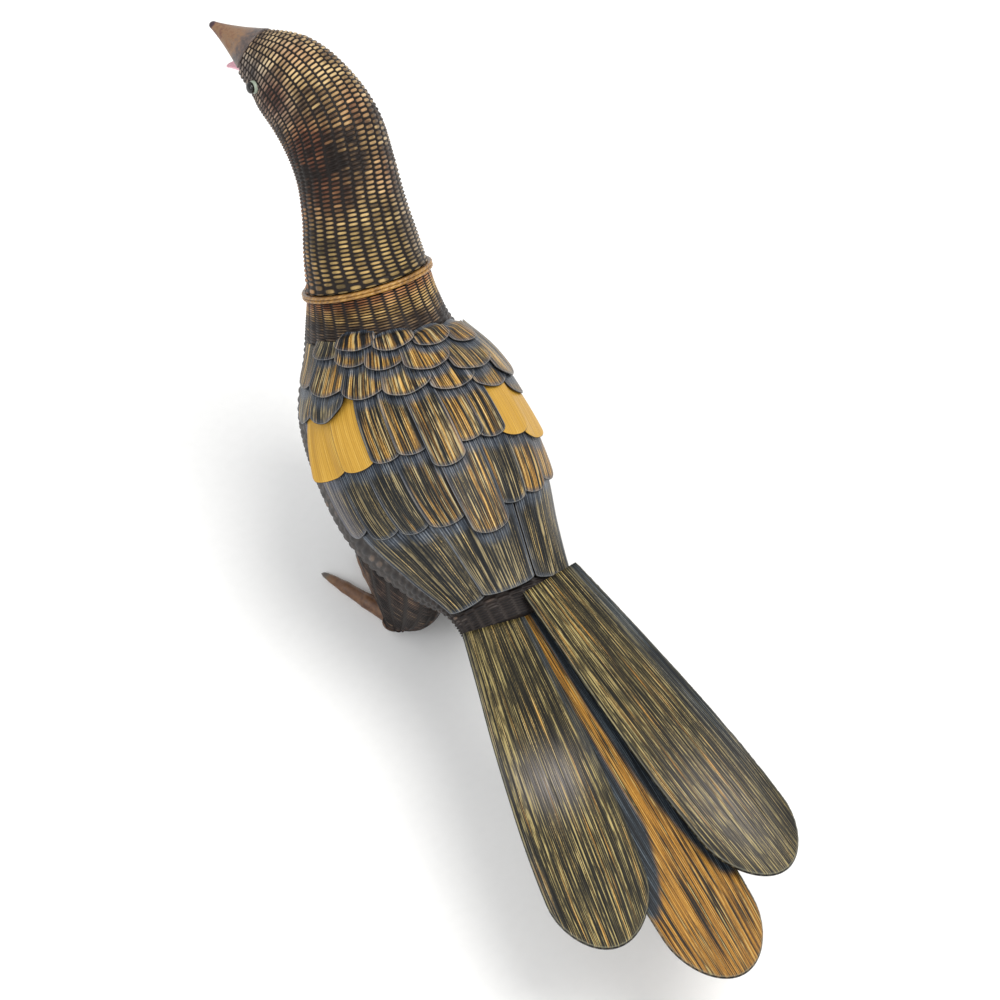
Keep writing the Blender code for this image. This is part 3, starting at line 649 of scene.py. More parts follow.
def woven_bamboo():
    """Split bamboo, dyed and varnished: pale crests of thin splints, with painted shade down their sides and
    in the dark furrows.
    """
    made, tree, shader = start_material(
        "dyed split bamboo weave", Roughness=0.5, Specular_IOR_Level=0.18, Coat_Weight=0.03,
        Coat_Roughness=0.2,
    )
    over, dye, tone, rust, dust_and_sheen, gold = (
        add(tree, "Attribute", attribute_name=word, output="Fac")
        for word in ("over", "dye", "tone", "rust", "dust_and_sheen", "gold")
    )
    where = add(tree, "TexCoord", output="Object")
    # Patches of worn dye about 6 mm across
    patches = add(tree, "TexNoise", {"Vector": where, "Scale": 170.0, "Detail": 3.0, "Roughness": 0.6})
    level = add(tree, "Math", {0: patches, 1: 1.25, 2: tone}, operation="MULTIPLY_ADD")
    level = add(tree, "Math", {0: dye, 1: 0.5, 2: level}, operation="MULTIPLY_ADD")
    level = add(tree, "Math", {0: level, 1: 0.92}, operation="SUBTRACT", use_clamp=True)
    light = add(tree, "ValToRGB", {0: level}, stops=[
        (0.0, "#17120f"), (0.22, "#3a2c20"), (0.42, "#6f5636"), (0.62, "#a08354"), (0.85, "#cfb27c"),
    ])
    # Tints for rust, gold, and for grey dust with a painted grey-lavender sheen
    for amount, stops in (
        (rust, [(0.0, "#1c0f0b"), (0.35, "#5e3220"), (0.9, "#c08158")]),
        (gold, [(0.0, "#1a150b"), (0.35, "#5f502a"), (0.9, "#bf9f57")]),
        (dust_and_sheen, [(0.0, "#1b191b"), (0.4, "#5d5856"), (0.9, "#b4a99c")]),
    ):
        tinted = add(tree, "ValToRGB", {0: level}, stops=stops)
        light = add(tree, "Mix", {0: amount, 6: light, 7: tinted}, **RGBA)
    # The furrows are painted near black as shade, lighter where the dust and painted sheen lie
    painted_furrow_shade = add(tree, "Mix", {0: dust_and_sheen, 6: shade("#150d09"), 7: shade("#2e2825")}, **RGBA)
    # Each splint darkens from its crest towards its edges: painted shade of the round splint
    crest = add(tree, "MapRange", {0: over, 1: 0.24, 2: 0.74, 3: 0.0, 4: 1.0}, **EASED)
    colour = add(tree, "Mix", {0: crest, 6: painted_furrow_shade, 7: light}, **RGBA)
    tree.links.new(colour, shader.inputs["Base Color"])
    # Bamboo fibre, about 0.3 mm
    fibre = add(tree, "TexNoise", {"Vector": where, "Scale": 3500.0, "Detail": 1.0})
    bump = add(tree, "Bump", {"Strength": 0.25, "Distance": 0.0001, "Height": fibre})
    tree.links.new(bump, shader.inputs["Normal"])
    return made


def lacquered_bamboo(
    name, stops, gilt_stops, smoke_and_shadow_stops, rib, smoke_rim, sheen_colour, edge_highlight_colour, roughness=0.36,
):
    """Bamboo slat, scorched and lacquered: long fibre streaks from slate to straw, a pale painted highlight
    on the edge.
    """
    made, tree, shader = start_material(
        name, Roughness=roughness, Specular_IOR_Level=0.16, Coat_Weight=0.03, Coat_Roughness=0.2,
    )
    where = add(tree, "UVMap", uv_map="UVMap")
    edge, gilt, smoke_and_shadow, bloom = (
        add(tree, "Attribute", attribute_name=word, output="Fac")
        for word in ("edge", "gilt", "smoke_and_shadow", "bloom")
    )
    noises = []
    for across, along, detail, rough in STREAKS.values():
        spot = add(tree, "Mapping", {"Vector": where, "Scale": (across, along, 1.0)})
        noises.append(add(
            tree, "TexNoise", {"Vector": spot, "Scale": 1.0, "Detail": detail, "Roughness": rough},
            noise_dimensions="2D",
        ))
    broad, fine, speck, worn, broken = noises
    # Combed lines 0.75 mm apart, as the splitting knife leaves them
    comb = add(tree, "Mapping", {"Vector": where, "Scale": (1.0, 0.02, 1.0)})
    comb = add(tree, "TexWave", {
        "Vector": comb, "Scale": 0.42, "Distortion": 2.2, "Detail": 2.0, "Detail Scale": 0.5,
    })
    level = add(tree, "Math", {0: broad, 1: 0.46}, operation="MULTIPLY")
    for part, weight in ((fine, 0.5), (speck, 0.2), (comb, 0.16)):
        level = add(tree, "Math", {0: part, 1: weight, 2: level}, operation="MULTIPLY_ADD")
    level = add(tree, "MapRange", {0: level, 1: 0.50, 2: 0.90, 3: 0.0, 4: 1.0})
    plain = add(tree, "ValToRGB", {0: level}, stops=stops)
    golden = add(tree, "ValToRGB", {0: level}, stops=gilt_stops)
    share = add(tree, "Math", {0: broad, 1: 1.4, 2: gilt}, operation="MULTIPLY_ADD")
    share = add(tree, "MapRange", {0: share, 1: 0.90, 2: 1.30, 3: 0.0, 4: 1.0}, **EASED)
    colour = add(tree, "Mix", {0: share, 6: plain, 7: golden}, **RGBA)
    # Ribs about 0.5 mm wide where the lacquer has worn off; the darkest slats are the least worn
    rib_colour, gilt_rib_colour, rib_share = rib
    worn = add(tree, "MapRange", {0: worn, 1: 0.56, 2: 0.615, 3: 0.0, 4: rib_share}, **EASED)
    broken = add(tree, "MapRange", {0: broken, 1: 0.42, 2: 0.58, 3: 0.15, 4: 1.0})
    polish = add(tree, "MapRange", {0: gilt, 1: -0.15, 2: 0.15, 3: 0.45, 4: 1.0})
    for part in (broken, polish):
        worn = add(tree, "Math", {0: worn, 1: part}, operation="MULTIPLY")
    straw = add(tree, "Mix", {0: share, 6: shade(rib_colour), 7: shade(gilt_rib_colour)}, **RGBA)
    # Blue-grey painted shadow under the slats above, and blue-grey smoke along the sides and up to 1.7 mm in
    # from the outline
    smoke_and_shadow_tint = add(tree, "ValToRGB", {0: level}, stops=smoke_and_shadow_stops)
    rim = add(tree, "MapRange", {0: edge, 1: 1.7, 2: 0.6, 3: 0.0, 4: smoke_rim}, **EASED)
    smoke_and_shadow_share = add(tree, "Math", {0: smoke_and_shadow, 1: rim}, operation="MAXIMUM")
    # A painted lavender sheen, broken by the fine streaks
    sheen_amount = add(tree, "MapRange", {0: fine, 1: 0.36, 2: 0.6, 3: 0.1, 4: 1.0})
    sheen_amount = add(tree, "Math", {0: bloom, 1: sheen_amount}, operation="MULTIPLY")
    # A pale painted highlight on the bevel 0.5 mm wide round each slat, and painted near-black shade at its
    # very edge, in the joint
    edge_highlight = add(tree, "MapRange", {0: edge, 1: 0.48, 2: 0.28, 3: 0.0, 4: 0.34}, **EASED)
    edge_shade = add(tree, "MapRange", {0: edge, 1: 0.22, 2: 0.10, 3: 0.0, 4: 1.0})
    for amount, layer in (
        (worn, straw), (smoke_and_shadow_share, smoke_and_shadow_tint), (sheen_amount, shade(sheen_colour)), (edge_highlight, shade(edge_highlight_colour)),
        (edge_shade, shade("#0e0c0b")),
    ):
        colour = add(tree, "Mix", {0: amount, 6: colour, 7: layer}, **RGBA)
    tree.links.new(colour, shader.inputs["Base Color"])
    relief = add(tree, "Math", {0: broad, 1: 0.5, 2: fine}, operation="MULTIPLY_ADD")
    bump = add(tree, "Bump", {"Strength": 0.5, "Distance": 0.00018, "Height": relief})
    tree.links.new(bump, shader.inputs["Normal"])
    return made


def painted_wood(name, stops, scale, roughness, depth, mottle=0.5):
    """Carved wood with thin uneven paint: colour patches a few millimetres wide."""
    made, tree, shader = start_material(name, Roughness=roughness, Coat_Weight=0.2, Coat_Roughness=0.3)
    where = add(tree, "TexCoord", output="Object")
    patches = add(tree, "TexNoise", {"Vector": where, "Scale": scale, "Detail": 4.0, "Roughness": 0.65})
    tip = add(tree, "Attribute", attribute_name="tip", output="Fac")
    level = add(tree, "MapRange", {0: patches, 1: 0.0, 2: 1.0, 3: 0.25 - mottle / 2, 4: 0.25 + mottle / 2})
    level = add(tree, "Math", {0: level, 1: tip}, operation="ADD", use_clamp=True)
    colour = add(tree, "ValToRGB", {0: level}, stops=stops)
    tree.links.new(colour, shader.inputs["Base Color"])
    bump = add(tree, "Bump", {"Strength": 0.6, "Distance": depth, "Height": patches})
    tree.links.new(bump, shader.inputs["Normal"])
    return made


def glass_bead():
    """Black glass bead, fire polished: near black, mirror smooth."""
    made, tree, shader = start_material("black glass bead", Roughness=0.06, IOR=1.52)
    where = add(tree, "TexCoord", output="Object")
    depth = add(tree, "TexNoise", {"Vector": where, "Scale": 900.0, "Detail": 1.0})
    colour = add(tree, "ValToRGB", {0: depth}, stops=[(0.3, "#050506"), (0.8, "#15130f")])
    tree.links.new(colour, shader.inputs["Base Color"])
    return made


def studio_floor():
    """Matt white paper sweep with a faint fibre tone 3 mm across."""
    made, tree, shader = start_material("white paper sweep", Roughness=0.9)
    where = add(tree, "TexCoord", output="Object")
    fibre = add(tree, "TexNoise", {"Vector": where, "Scale": 300.0, "Detail": 2.0})
    colour = add(tree, "ValToRGB", {0: fibre}, stops=[(0.0, "#f6f6f5"), (1.0, "#fbfbfa")])
    tree.links.new(colour, shader.inputs["Base Color"])
    return made


# Pieces

def stake_values(over, dye, tone, rust, dust_and_sheen, gold=0.0):
    words = ("over", "dye", "tone", "rust", "dust_and_sheen", "gold")
    amounts = (over, dye, tone, rust, dust_and_sheen, gold)
    return {word: np.broadcast_to(amount, np.shape(over)) for word, amount in zip(words, amounts)}


def weave_head(finish):
    """Woven neck and head: the lid's surface lowered by WEAVE_DEPTH times one minus the weave."""
    sides = HEAD_STAKES * SAMPLES_PER_STAKE
    spine = lid_frame(np.linspace(0, 1, 200))[0]
    length = np.linalg.norm(np.diff(spine, axis=0), axis=1).sum()
    rows = round(length / SPLINT)
    row = np.linspace(0, rows, rows * SAMPLES_ACROSS_SPLINT + 1)
    stake = np.arange(sides) / SAMPLES_PER_STAKE
    row, stake = np.meshgrid(row, stake, indexing="ij")
    t = LID_EDGE + (1 - LID_EDGE) * row / rows
    angle = stake / HEAD_STAKES * 2 * np.pi
    # With an odd number of stakes the splints run on as one spiral, a row higher after each round
    height, over, dye = weave(stake, row + stake / HEAD_STAKES, 0.9 - 0.6 * smooth(0.3, 0.7, t))
    outside = lid_surface(t, angle, -WEAVE_DEPTH * (1 - height))
    inner_t = np.linspace(LID_EDGE, LINING_END, 24)[:, None] + 0 * angle[:1]
    inside = lid_surface(inner_t, angle[:1] + 0 * inner_t, -WALL + 0 * inner_t)
    rings = np.concatenate([outside[::-1], inside])
    points, faces, corners = tube(rings)
    flat = np.zeros(inner_t.shape)

    def both(value):
        return np.concatenate([np.broadcast_to(value, t.shape)[::-1], flat])

    facing = np.cos(angle)
    side = np.sin(angle)
    blotch = np.sin(angle * 3 + t * 9) * np.sin(t * 17 - angle * 2)
    # Dark reddish stains on the left: halfway up the nape, and behind the eye
    darkening = np.exp(-((t - 0.47) / 0.14) ** 2 - (np.sin((angle - 0.7) / 2) / 0.37) ** 2)
    behind_eye = np.exp(-((t - 0.79) / 0.06) ** 2 - (np.sin((angle - 1.15) / 2) / 0.16) ** 2)
    darkening = np.maximum(darkening, 0.8 * behind_eye)
    tone = 0.50 + 0.15 * facing + 0.07 * smooth(0.55, 0.75, t) - 0.52 * darkening + 0.10 * blotch
    tone = tone - 0.06 * smooth(0.95, 1.0, t)
    rust = np.clip(0.22 + 0.5 * blotch - 0.2 * facing + 0.4 * darkening + 0.3 * smooth(0.4, 0.9, side), 0, 0.8)
    # A painted grey-lavender sheen along both limbs of the neck and over the head, with a little grey dust
    # everywhere
    limb_sheen = 0.6 * smooth(0.5, 0.95, -side) + 0.5 * smooth(0.6, 0.75, t) * smooth(0.5, 0.95, side)
    dust_and_sheen = np.clip(limb_sheen + 0.3 * smooth(0.75, 1.0, t) + 0.12, 0, 0.85) * (1 - 0.8 * darkening)
    gold = smooth(0.42, 0.15, t) * smooth(-0.2, 0.6, facing) * 0.75
    values = stake_values(*(both(amount) for amount in (over, dye, tone, rust, dust_and_sheen, gold)))
    piece = new_piece("woven_head", points, faces, finish, corners, values)
    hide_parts("head_lid")


def weave_body(finish):
    """Woven body and its spigot: the body's surface lowered by the weave, closer rows at neck and tail."""
    sides = BODY_STAKES * BODY_SAMPLES_PER_STAKE
    row = np.linspace(0, BODY_ROWS[-1], round(BODY_ROWS[-1]) * BODY_SAMPLES_ACROSS_SPLINT + 1)
    stake = np.arange(sides) / BODY_SAMPLES_PER_STAKE
    row, stake = np.meshgrid(row, stake, indexing="ij")
    t = np.interp(row, BODY_ROWS, BODY_ROW_PLACES)
    angle = stake / BODY_STAKES * 2 * np.pi
    height, over, dye = weave(stake, row + stake / BODY_STAKES)
    outside = over_body(t, angle, -WEAVE_DEPTH * (1 - height))
    inner_t = np.linspace(0.04, LINING_END, 26)[:, None] + 0 * angle[:1]
    ring = angle[:1] + 0 * inner_t
    inside = over_body(inner_t, ring, -WALL + 0 * inner_t)
    bore = SPIGOT_RADIUS - WALL
    full = np.ones(sides)
    # The spigot's outside, its chamfered lip and its bore
    profile = [
        (SPIGOT_RADIUS, 0.0), (SPIGOT_RADIUS, SPIGOT_HEIGHT - 0.3), (SPIGOT_RADIUS - 0.3, SPIGOT_HEIGHT),
        (bore, SPIGOT_HEIGHT), (bore, -WALL),
    ]
    spigot = np.array([seam_rings(radius * full, rise * full, angle[0]) for radius, rise in profile])
    points, faces, corners = tube(np.concatenate([outside[::-1], spigot, inside]))
    extra = len(spigot) + len(inside)

    def both(value, inner=0.0):
        grid = np.broadcast_to(value, t.shape)[::-1]
        return np.concatenate([grid, np.full((extra, sides), inner)])

    facing = np.cos(angle)
    side = np.sin(angle)
    blotch = np.sin(angle * 4 + t * 14) * np.sin(t * 23 - angle * 3)
    neck = smooth(0.24, 0.05, t)
    tail = smooth(0.90, 0.94, t)
    tone = 0.10 + (0.46 + 0.22 * smooth(0.3, -0.5, side)) * neck + 0.08 * blotch - 0.20 * tail
    rust = np.clip(smooth(0.10, 0.0, t) * 0.7 + 0.15, 0, 1) * (1 - tail)
    # Grey dust with a painted lavender sheen over the body below the neck, more at the tail's root
    dust_and_sheen = np.clip(0.5 * (1 - neck) + 0.35 * tail, 0, 0.95)
    gold = neck * smooth(-0.1, 0.5, facing) * 0.45 * smooth(0.0, 0.08, t)
    values = stake_values(
        both(over, 0.6), both(dye, 0.4), both(tone, 0.3), both(rust), both(dust_and_sheen), both(gold),
    )
    piece = new_piece("woven_body", points, faces, finish, corners, values)
    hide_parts("body_basket")


def plait_rim(finish):
    """Two strands side by side round the lid's edge: a profile with two round lobes, carried round
    the neck's axis while each lobe swells and shrinks with its turns."""
    angle = np.arange(RIM_SIDES) / RIM_SIDES * 2 * np.pi
    outer = NECK_RADIUS + RIM_OVERHANG
    lobe = RIM_HEIGHT / 4
    rings = []
    over = []
    for share in np.linspace(0, 1, 15):
        upper = 0 if share < 0.5 else 1
        turn = math.pi * ((share * 2) % 1.0 if share < 1 else 1.0)
        strand = RIM_TURNS * angle + upper * np.pi
        twist = 0.10 * np.cos(strand + turn * 2 * (1 if upper else -1))
        radius = outer - lobe * 0.9 + (lobe * 0.9 + twist) * math.sin(turn)
        rise = GAP + lobe * (1 + 2 * upper - math.cos(turn))
        rings.append(seam_rings(radius, np.full(RIM_SIDES, rise), angle))
        # Lighter on each strand's crest, darker where the strands meet and twist: painted shade of the round
        # strands
        over.append(0.25 + 0.75 * math.sin(turn) * (0.75 + 0.25 * np.cos(strand + turn * 2)))
    bore = np.full(RIM_SIDES, NECK_RADIUS - WALL)
    for rise in (GAP + RIM_HEIGHT, GAP):
        rings.append(seam_rings(bore, np.full(RIM_SIDES, rise), angle))
        over.append(np.full(RIM_SIDES, 0.3))
    points, faces, corners = hoop(np.array(rings))
    # The UV of the bore's belt starts at 0 again
    corners[-4 * RIM_SIDES:, 1] -= len(rings) - 1
    dye = hashed(np.floor(angle * RIM_TURNS / (2 * np.pi)))
    values = {"tip": np.array(over) * 0.42 + dye * 0.16}
    piece = new_piece("plaited_rim", points, faces, finish, corners, values)
    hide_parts("lid_rim")


def near_edge(points, outline):
    """Distance from each point to the nearest point of a densely drawn outline."""
    flat = points.reshape(-1, 3)
    best = np.full(len(flat), np.inf)
    for start in range(0, len(outline), 100):
        gap = np.linalg.norm(flat[:, None, :] - outline[None, start:start + 100, :], axis=2)
        best = np.minimum(best, gap.min(1))
    return best.reshape(points.shape[:2])


def blade(name, surface, looks, thickness, grid, finish, number, grooves=GROOVE_DEPTH):
    """A thin slat over a grid of u, root to tip, and v, across: its top is raised by the thickness,
    rounded off within EDGE_ROUNDING of its outline and grooved lengthwise; its underside is plain."""
    rows, columns = grid
    columns_v = np.sin(np.linspace(-np.pi / 2, np.pi / 2, columns))
    rows_u = 1 - (1 - np.linspace(0, 1, rows)) ** 1.6
    u, v = np.meshgrid(rows_u, columns_v, indexing="ij")
    under = surface(u, v, 0 * u)
    down = np.linspace(0, 1, SIDE_POINTS)
    tip = np.sin(np.linspace(-np.pi / 2, np.pi / 2, TIP_POINTS))
    outline = [
        surface(share[None], across[None], 0 * share[None])[0]
        for share, across in ((1 + 0 * tip, tip), (down, 0 * down - 1), (down, 0 * down + 1))
    ]
    edge = near_edge(under, np.vstack(outline))
    width = np.linalg.norm(np.diff(under[rows // 2], axis=0), axis=1).sum()
    length = np.linalg.norm(np.diff(under[:, columns // 2], axis=0), axis=1).sum()
    across = v * width / 2
    along = u * length
    inner = np.clip(edge / EDGE_ROUNDING, 0, 1)
    wave = 0.5 + 0.5 * np.sin(2 * np.pi * across / GROOVE_SPACING + 1.5 * np.sin(along / 9 + number))
    wave = wave * hashed(np.floor(across / GROOVE_SPACING + 50), number)
    lift = thickness * (1 - 0.65 * (1 - inner) ** 2) - grooves * wave * inner
    points = np.vstack([surface(u, v, lift).reshape(-1, 3), under.reshape(-1, 3)])
    count = rows * columns
    spot = np.arange(count).reshape(rows, columns)
    upper = np.stack([spot[:-1, :-1], spot[:-1, 1:], spot[1:, 1:], spot[1:, :-1]], -1).reshape(-1, 4)
    faces = [upper, upper[:, ::-1] + count]
    for line in (spot[0], spot[-1][::-1], spot[::-1, 0], spot[:, -1]):
        faces.append(np.stack([line[1:], line[:-1], line[:-1] + count, line[1:] + count], -1))
    faces = np.vstack(faces)
    # Each slat takes its own stretch of the streaks
    plain = np.stack([across + number * 37.3, along + number * 11.7], -1).reshape(-1, 2)
    corners = np.vstack([plain, plain])[faces.ravel()]
    values = {word: np.tile(amount.ravel(), 2) for word, amount in [("edge", edge), *looks(u, v).items()]}
    return new_piece(name, points, faces.tolist(), finish, corners, values)


def slat_looks(slat, chance, u, v):
    """Gilt grows towards the tip as u^1.5. Painted blue-grey shadow lies on the slat up to 1.5 SHADOW_REACH
    beyond the edges of the slats above, and blue-grey smoke along its sides. A painted lavender sheen lies
    on the flanks of coverts and wing."""
    scallop = "scallop" in slat.name
    gilt = ROW_GILT[slat.row] + 0.2 * (chance - 0.5) + GILT_NOTES.get(slat.name, 0.0)
    gilt = gilt + (0.26 if scallop else 0.12) * u**1.5
    if slat.name in GOLDEN_SLATS:
        return {"gilt": gilt, "smoke_and_shadow": 0 * u, "bloom": 0 * u}
    t, degrees = slat.place(u, v)
    beyond = u * 12.0
    if slat.above:
        edge = np.max([other.cover(degrees) for other in slat.above], axis=0)
        beyond = np.where(np.isfinite(edge), t - edge, 1.0) * BODY_LENGTH
    # Painted blue-grey shadow just beyond the edges of the slats above, and blue-grey smoke along the sides
    darkening = 0.9 * smooth(SHADOW_REACH * 1.5, SHADOW_REACH * 0.5, beyond)
    sides = smooth(0.6, 0.92, np.abs(v)) if scallop else smooth(0.8, 0.95, np.abs(v))
    smoke_and_shadow = np.maximum(darkening, (0.45 + 0.4 * chance) * sides)
    # A painted lavender sheen on the flanks of coverts and wing
    share = 0.3 if slat.row in ("wing_slat", "covert_slat") else 0.0
    return {"gilt": gilt, "smoke_and_shadow": smoke_and_shadow, "bloom": share * smooth(60.0, 78.0, np.abs(degrees))}


def lay_fine_slats(finishes):
    """The rows of slats, each over its CAD plate."""
    number = 0
    for row in lay_slats():
        for slat in row.slats:
            number += 1
            look = "gold" if slat.name in GOLDEN_SLATS else "slat"
            piece = blade(
                f"lacquered_{slat.name}", partial(row.surface, slat),
                partial(slat_looks, slat, float(hashed(number, 3))), SLAT,
                SCALLOP_GRID if "scallop" in slat.name else SLAT_GRID, finishes[look], number,
            )
            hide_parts(slat.name)


def tail_surface(length, root, start, layer, turn, u, v, lift):
    """Blade on the tail's bed: side = v outline(reach) width / 2, turned by the splay."""
    blunt = TAIL_WIDTH * TAIL_BLUNT
    reach = u * (length - blunt * (1 - np.sqrt(np.clip(1 - v**2, 0, 1))))
    side = v * tail_outline(reach / length) * TAIL_WIDTH / 2
    x = start + reach * math.sin(turn) + side * math.cos(turn)
    y = root + reach * math.cos(turn) - side * math.sin(turn)
    z = tail_bed(x, y) + layer * (TAIL_THICKNESS + GAP) + lift
    return np.stack([x, y, z], -1)


def tail_looks(word, u, v):
    """Gilt, and smoke with painted shadow, of each blade as seen, and a painted sheen as a soft spot e^(-a^2
    - b^2).
    """
    if word == "middle":
        # The golden wedge opens from a point near the root to the whole tip
        left = np.interp(u, [0.3, 0.6, 0.72, 0.87, 0.95], [0.2, 0.15, 0.4, 0.86, 1.1])
        right = np.interp(u, [0.3, 0.36, 0.49, 0.64, 0.8, 0.905], [0.08, 0.13, 0.18, 0.37, 0.67, 1.1])
        gilt = 0.5 + 0 * u
        # Blue-grey smoke and painted shadow outside the golden wedge, beside the blades above
        smoke_and_shadow = np.maximum(smooth(-0.05, 0.06, v - left), smooth(-0.05, 0.06, -v - right))
    elif word == "left":
        gilt = -0.02 + 0.16 * u - 0.2 * smooth(-0.8, -1.0, v)
        smoke_and_shadow = 0.4 * smooth(0.75, 0.95, v) + 0.8 * smooth(-0.75, -0.9, v) * smooth(0.8, 0.3, u)
    else:
        gilt = 0.10 - 0.1 * smooth(0.75, 1.0, u) - 0.3 * smooth(-0.4, -0.9, v)
        smoke_and_shadow = 0.85 * smooth(-0.45, -0.85, v) * smooth(1.0, 0.5, u)
    # A painted sheen, a soft spot on each blade
    reach, half, share = TAIL_SHEEN[word]
    bloom = share * np.exp(-((u - reach) / half) ** 2 - ((v - 0.1) / 0.7) ** 2)
    return {"gilt": gilt, "smoke_and_shadow": smoke_and_shadow, "bloom": bloom}


def make_tail(finishes):
    """Three long blades in layers on the tail's bed."""
    end = max(BACK[-1][0], BELLY[-1][0]) + GAP
    root_x = (TAIL_ROOT_WIDTH - TAIL_OUTLINE[0] * TAIL_WIDTH) / 2
    feathers = [
        ("middle", MIDDLE_TAIL_LENGTH, -MIDDLE_TAIL_SPLAY, end, 0.0),
        ("left", TAIL_LENGTH, LEFT_TAIL_SPLAY, end, root_x),
        ("right", RIGHT_TAIL_LENGTH, -RIGHT_TAIL_SPLAY, end - TAIL_ROOT_LAP, -root_x),
    ]
    for number, (word, length, splay, root, start) in enumerate(feathers):
        piece = blade(
            f"lacquered_tail_feather_{word}",
            partial(tail_surface, length, root, start, TAIL_LAYERS[word], math.radians(splay)),
            partial(tail_looks, word), TAIL_THICKNESS, TAIL_GRID, finishes["tail"], number + 60,
            TAIL_GROOVE_DEPTH,
        )
        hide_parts(f"tail_feather_{word}")


def beak_half(name, node, length, radius, droop, turn, sign, finish):
    """Half cone whose size falls as (1 - step)^BEAK_HOLLOW to a blunt tip, flat towards the mouth."""
    centre, axis, crown, left = lid_frame(np.array(1.0))
    pitch = Matrix.Rotation(math.radians(droop), 3, Vector(left))
    yaw = Matrix.Rotation(math.radians(turn), 3, Vector(crown))
    along, across, side = (np.array(yaw @ pitch @ Vector(way)) for way in (axis, crown, left))
    start = centre + axis * GAP
    if sign < 0:
        start = start - crown * (BEAK_BASE_RADIUS - radius)
    angle = np.arange(BEAK_SIDES) / BEAK_SIDES * 2 * np.pi
    step = np.linspace(0.0, 1.0, 56)[:, None]
    size = radius * (BEAK_BLUNT + (1 - BEAK_BLUNT) * (1 - step) ** BEAK_HOLLOW)
    # The last twentieth rounds off
    size = size * np.sqrt(np.clip(1 - (np.clip(step - 0.94, 0, 1) / 0.062) ** 2, 0.02, 1))
    height = np.cos(angle)[None] * size
    height = np.where(height > 0, height, height * BEAK_FLOOR) * sign
    width = np.sin(angle)[None] * size
    if sign > 0:
        # Nostrils: two long dents beside the ridge
        for nostril in (2 * np.pi - 1.0, 1.0):
            dent = np.exp(-((step - 0.36) / 0.09) ** 2 - ((angle - nostril) / 0.2) ** 2)
            height = height - 0.55 * dent
            width = width * (1 - 0.1 * dent)
    rings = start + along * (length * step[..., None]) + width[..., None] * side + height[..., None] * across
    behind = np.minimum((rings - start) @ axis, 0.0)
    rings = rings - behind[..., None] * axis
    points, faces, corners = tube(rings)
    tip = step + 0 * width
    tone = beak_tone(tip) if sign > 0 else 0.3 + 0 * tip
    piece = new_piece(name, points, faces, finish, corners, {"tip": tone})
    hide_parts(node)


def beak_tone(share):
    """Mauve-brown base, orange-tan shaft and dark nail, as places on the paint's colour ramp."""
    shaft = 0.30 * smooth(0.1, 0.3, share) + 0.12 * smooth(0.5, 0.7, share)
    return 0.02 + shaft + 0.4 * smooth(0.87, 0.93, share)


def make_eye(side, word, bead, ring_paint):
    """A flattened bead, x^2 + y^2 + (z / flatness)^2 = r^2, twice as deep below its girth, in a
    painted collar that stands in the weave."""
    station = np.array(EYE_STATION)
    angle = np.array(math.radians(EYE_ANGLE) * side)
    step = 1e-3

    def lid_point(t, turn):
        centre, _, crown, left = lid_frame(t)
        return centre + lid_radius(t) * (np.cos(turn) * crown + np.sin(turn) * left)

    place = lid_point(station, angle)
    along = lid_point(station + step, angle) - lid_point(station - step, angle)
    round_it = lid_point(station, angle + step) - lid_point(station, angle - step)
    normal = unit(np.cross(along, round_it))
    normal = normal * np.sign(normal @ (place - lid_frame(station)[0]))
    first = unit(along)
    second = np.cross(normal, first)
    seat = place + normal * (GAP + EYE_RADIUS * EYE_FLATNESS)
    turn = np.arange(EYE_SIDES) / EYE_SIDES * 2 * np.pi
    circle = np.cos(turn)[:, None] * first + np.sin(turn)[:, None] * second
    rise = np.linspace(-np.pi / 2 + 0.06, np.pi / 2 - 0.06, 24)[:, None, None]
    depth = np.sin(rise) * EYE_FLATNESS * np.where(rise < 0, 2.0, 1.0)
    points, faces, corners = tube(seat + EYE_RADIUS * (np.cos(rise) * circle + depth * normal))
    piece = new_piece(f"bead_eye_{word}", points, faces, bead, corners)
    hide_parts(f"eye_{word}")
    around = np.linspace(0, 2 * np.pi, 12, endpoint=False)[:, None, None]
    radius = EYE_RADIUS * 1.02 + 0.22 * np.cos(around) - 0.12 * np.sin(around)
    level = -1.15 + 0.55 * np.sin(around)
    points, faces, corners = hoop(seat + radius * circle + level * normal)
    tone = {"tip": np.full(len(points), 0.3)}
    ring = new_piece(f"eye_ring_{word}", points, faces, ring_paint, corners, tone)


